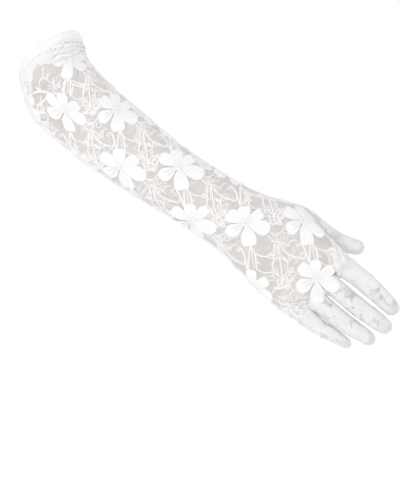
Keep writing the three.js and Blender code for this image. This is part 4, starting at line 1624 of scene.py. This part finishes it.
def thumb_root_path():
    """Round the root of the thumb, where its cloth meets the cloth of the hand."""
    tube = tubes["thumb"]
    path = []
    for share in np.arange(0, 1, 1 / THUMB_LINES):
        places, _ = ring_places(tube, np.full(len(THUMB_ROOT), share), THUMB_ROOT)
        parts = distances_of(places)
        outside = parts["arm"] - parts["thumb"]
        crossings = np.nonzero((outside[:-1] < 0) & (outside[1:] >= 0))[0]
        if len(crossings):
            path.append(places[crossings[-1]])
    path = np.array(path)
    for _ in range(THUMB_ROUNDS):
        path = (np.roll(path, 1, axis=0) + 2 * path + np.roll(path, -1, axis=0)) / 4
    return settle(path, unit(path - path.mean(axis=0)))


seams = Lace()
seam_paths = {"side": side_path(), "thumb_root": thumb_root_path()}
for name, tube in tubes.items():
    seam_paths[name] = finger_path(tube, THUMB_SEAM_Z if name == "thumb" else FINGER_SEAM_Z)
for name, (places, normals) in seam_paths.items():
    seam_band(seams, places, normals, closed=name == "thumb_root")
seam_ridges = seams.make("seam_ridges", [yarns["seam_thread"]])


def inner_seam():
    """The sewn edges of the cloth, which stand inwards as a thin fin down the little-finger side."""
    places, normals = seam_paths["side"]
    ahead = unit(np.gradient(places, axis=0))
    side = unit(np.cross(normals, ahead))
    way = way_along(places)
    wave = FIN_WAVE * np.sin(way * 1.3)
    points = places[:, None, :] - normals[:, None, :] * FIN_INWARDS[None, :, None]
    points = points + side[:, None, :] * (FIN_ASIDE[None, :] + wave[:, None])[:, :, None]
    fin = Lace()
    add_strip(fin, points, FIN_INWARDS, way)
    return fin.make("inner_seam_edges", [yarns["seam_thread"]])


inner_edges = inner_seam()

# Stitches, laid along a path by Geometry Nodes


def stitch_tree(material):
    """Stitches at even steps along a line, turned one way and the other."""
    tree = bpy.data.node_groups.new("stitches_on_a_line", "GeometryNodeTree")
    face = tree.interface
    face.new_socket("Line", in_out="INPUT", socket_type="NodeSocketGeometry")
    for name, value in (("Step", 0.002), ("Length", 0.0016), ("Thickness", 0.0004), ("Slant", 0.5)):
        face.new_socket(name, in_out="INPUT", socket_type="NodeSocketFloat").default_value = value
    face.new_socket("Stitches", in_out="OUTPUT", socket_type="NodeSocketGeometry")
    given = add_node(tree, "NodeGroupInput").outputs
    line = add_node(tree, "GeometryNodeMeshToCurve", {"Mesh": given["Line"]})
    steps = {"Curve": line, "Length": given["Step"]}
    even = add_node(tree, "GeometryNodeResampleCurve", steps, mode="LENGTH")
    kind = "GeometryNodeInputNamedAttribute"
    outwards = add_node(tree, kind, {"Name": "outwards"}, data_type="FLOAT_VECTOR")
    axes = {
        "Primary Axis": add_node(tree, "GeometryNodeInputTangent"),
        "Secondary Axis": outwards.outputs["Attribute"],
    }
    facing = add_node(tree, "FunctionNodeAxesToRotation", axes, primary_axis="X", secondary_axis="Z")
    number = add_node(tree, "GeometryNodeInputIndex")
    odd = add_node(tree, "ShaderNodeMath", {0: number, 1: 2}, operation="MODULO")
    swing = add_node(tree, "ShaderNodeMath", {0: odd, 1: 2, 2: -1}, operation="MULTIPLY_ADD")
    slant = add_node(tree, "ShaderNodeMath", {0: swing, 1: given["Slant"]}, operation="MULTIPLY")
    about = add_node(tree, "ShaderNodeCombineXYZ", {"Z": slant})
    lean = add_node(tree, "FunctionNodeEulerToRotation", {"Euler": about})
    leaning = {"Rotation": facing, "Rotate By": lean}
    turn = add_node(tree, "FunctionNodeRotateRotation", leaning, rotation_space="LOCAL")
    bead = add_node(tree, "GeometryNodeMeshUVSphere", {"Segments": 6, "Rings": 4, "Radius": 0.5})
    sizes = {"X": given["Length"], "Y": given["Thickness"], "Z": given["Thickness"]}
    stitch = add_node(tree, "GeometryNodeInstanceOnPoints", {
        "Points": even,
        "Instance": bead.outputs["Mesh"],
        "Rotation": turn,
        "Scale": add_node(tree, "ShaderNodeCombineXYZ", sizes),
    })
    real = add_node(tree, "GeometryNodeRealizeInstances", {"Geometry": stitch})
    smooth = add_node(tree, "GeometryNodeSetShadeSmooth", {"Geometry": real})
    stored = {"Geometry": smooth, "Name": "shade", "Value": 1}
    shade = add_node(tree, "GeometryNodeStoreNamedAttribute", stored, data_type="FLOAT", domain="POINT")
    finish = add_node(tree, "GeometryNodeSetMaterial", {"Geometry": shade, "Material": material})
    add_node(tree, "NodeGroupOutput", {"Stitches": finish})
    return tree


STITCHES = stitch_tree(yarns["seam_thread"])


def stitches(name, paths, step, length, thickness, slant, lift):
    """A piece of stitches along paths of places and normals, in millimetres."""
    points = np.concatenate([places + normals * lift for places, normals in paths])
    outwards = np.concatenate([normals for _, normals in paths])
    edges, start = [], 0
    for places, _ in paths:
        edges += [(start + i, start + i + 1) for i in range(len(places) - 1)]
        start += len(places)
    mesh = bpy.data.meshes.new(name + "_line")
    mesh.from_pydata(points * MM, edges, [])
    mesh.attributes.new("outwards", "FLOAT_VECTOR", "POINT").data.foreach_set("vector", outwards.ravel())
    line = new_object(name + "_line", mesh)
    modifier = line.modifiers.new("stitches", "NODES")
    modifier.node_group = STITCHES
    sizes = {"Step": step * MM, "Length": length * MM, "Thickness": thickness * MM, "Slant": slant}
    for item in STITCHES.interface.items_tree:
        if item.in_out == "INPUT" and item.name in sizes:
            modifier[item.identifier] = sizes[item.name]
    evaluated = line.evaluated_get(bpy.context.evaluated_depsgraph_get())
    made = bpy.data.meshes.new_from_object(evaluated)
    made.name = name
    bpy.data.objects.remove(line)
    return new_object(name, made)


def hem_line(down, out):
    """A closed line round the hem, for its stitches."""
    share = np.linspace(0, 1, HEM_STITCH_POINTS)
    places, normals = ring_places(arm, share, np.full(HEM_STITCH_POINTS, float(down)))
    return places + normals * out, normals


# Stitches: the step from one to the next, how long and how thick each is, how far it is turned in
# radians, and how high it lies
HEM_STITCH = (1.9, 1.5, 0.42, 0.0, 0)
SEAM_STITCH = (1.15, 1.3, 0.36, 0.72, 0.44)
EDGE_STITCH = (1.2, 1.3, 0.34, 0.9, 3.0)

hem_stitches = stitches("hem_stitches", [hem_line(HEM_STITCH_AT, HEM_STITCH_OUT)], *HEM_STITCH)
overlock = stitches("seam_stitches", list(seam_paths.values()), *SEAM_STITCH)
edge_places, edge_normals = seam_paths["side"]
edge_stitches = stitches("inner_seam_stitches", [(edge_places, -edge_normals)], *EDGE_STITCH)

# What each piece stands for: it is fixed to the body of the glove, and the solids it replaces are hidden

# The flat size of each sheet of lace, its width by its length in metres
LACE_CUTS = {
    "upper_sleeve": (0.240, 0.108),
    "lower_sleeve": (0.236, 0.158),
    "hand": (0.210, 0.128),
    "index_finger": (0.062, 0.074),
    "middle_finger": (0.060, 0.080),
    "ring_finger": (0.058, 0.074),
    "little_finger": (0.052, 0.064),
    "thumb": (0.068, 0.112),
}
for name, cut in LACE_CUTS.items():
    piece = bpy.data.objects[f"lace_{name}"]
    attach(piece, "root")
    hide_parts(name)
for piece in (hem, hem_stitches):
    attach(piece, "root")
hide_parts("cuff_hem")
for piece in (seam_ridges, inner_edges, overlock, edge_stitches):
    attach(piece, "root")
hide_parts("side_seam")

# Floor, light and camera

ROOM_LIGHT = 0.85
BACKDROP = 1.0
PALE = 0.9
FLOOR_GLOW = BACKDROP - PALE * ROOM_LIGHT
FLOOR_Z = -0.235
FLOOR_RADIUS = 9.0
FLOOR_SIDES = 96
# The softbox: where it is and its side in metres, and its power
SOFTBOX = ((-0.5, -1.7, 1.5), 1.1, 14.5)
WHITE = (1, 1, 1, 1)


def matt(name, colour, glow):
    """A plain matt finish that glows a little."""
    material, tree, shader = new_finish(name)
    set_inputs(tree, shader, {
        "Base Color": (*colour, 1),
        "Roughness": 0.9,
        "Emission Color": WHITE,
        "Emission Strength": glow,
    })
    return material


def floor_disc(name, low, size, material):
    """A round floor under the glove."""
    turn = np.linspace(0, 2 * math.pi, FLOOR_SIDES + 1)[:-1]
    points = [(size * math.cos(a), size * math.sin(a), low) for a in turn]
    mesh = bpy.data.meshes.new(name)
    mesh.from_pydata(points, [], [list(range(FLOOR_SIDES))])
    mesh.materials.append(material)
    floor = new_object(name, mesh)


floor_disc("pale_floor", FLOOR_Z, FLOOR_RADIUS, matt("pale_floor", (PALE, PALE, PALE), FLOOR_GLOW))

world = bpy.data.worlds.new("studio")
bpy.context.scene.world = world
world.use_nodes = True
sky_tree = world.node_tree
sky = sky_tree.nodes["Background"]
set_inputs(sky_tree, sky, {"Color": WHITE, "Strength": ROOM_LIGHT})
backdrop = add_node(sky_tree, "ShaderNodeBackground", {"Color": WHITE, "Strength": BACKDROP})
seen = add_node(sky_tree, "ShaderNodeLightPath").outputs["Is Camera Ray"]
either = add_node(sky_tree, "ShaderNodeMixShader", {"Fac": seen, 1: sky, 2: backdrop})
set_inputs(sky_tree, sky_tree.nodes["World Output"], {"Surface": either})


def area_light(name, place, size, power):
    """A square softbox that faces the glove."""
    lamp = bpy.data.lights.new(name, "AREA")
    lamp.size = size
    lamp.energy = power
    light = new_object(name, lamp)
    light.location = place
    light.rotation_euler = (-Vector(place)).to_track_quat("-Z", "Y").to_euler()


area_light("key_softbox", *SOFTBOX)

middle = Vector(PICTURE_MIDDLE) * MM
back = Vector((0, -1, 0))
lens = bpy.data.cameras.new("camera")
lens.lens = SENSOR * CAMERA_BACK / PICTURE_TALL
lens.sensor_width = SENSOR
lens.clip_end = CAMERA_SEES_METRES
camera = new_object("camera", lens)
turn = Matrix((PICTURE_RIGHT, PICTURE_UP, back)).transposed()
camera.matrix_world = Matrix.Translation(middle + back * CAMERA_BACK * MM) @ turn.to_4x4()
bpy.context.scene.camera = camera
bpy.context.scene.view_settings.view_transform = "Standard"
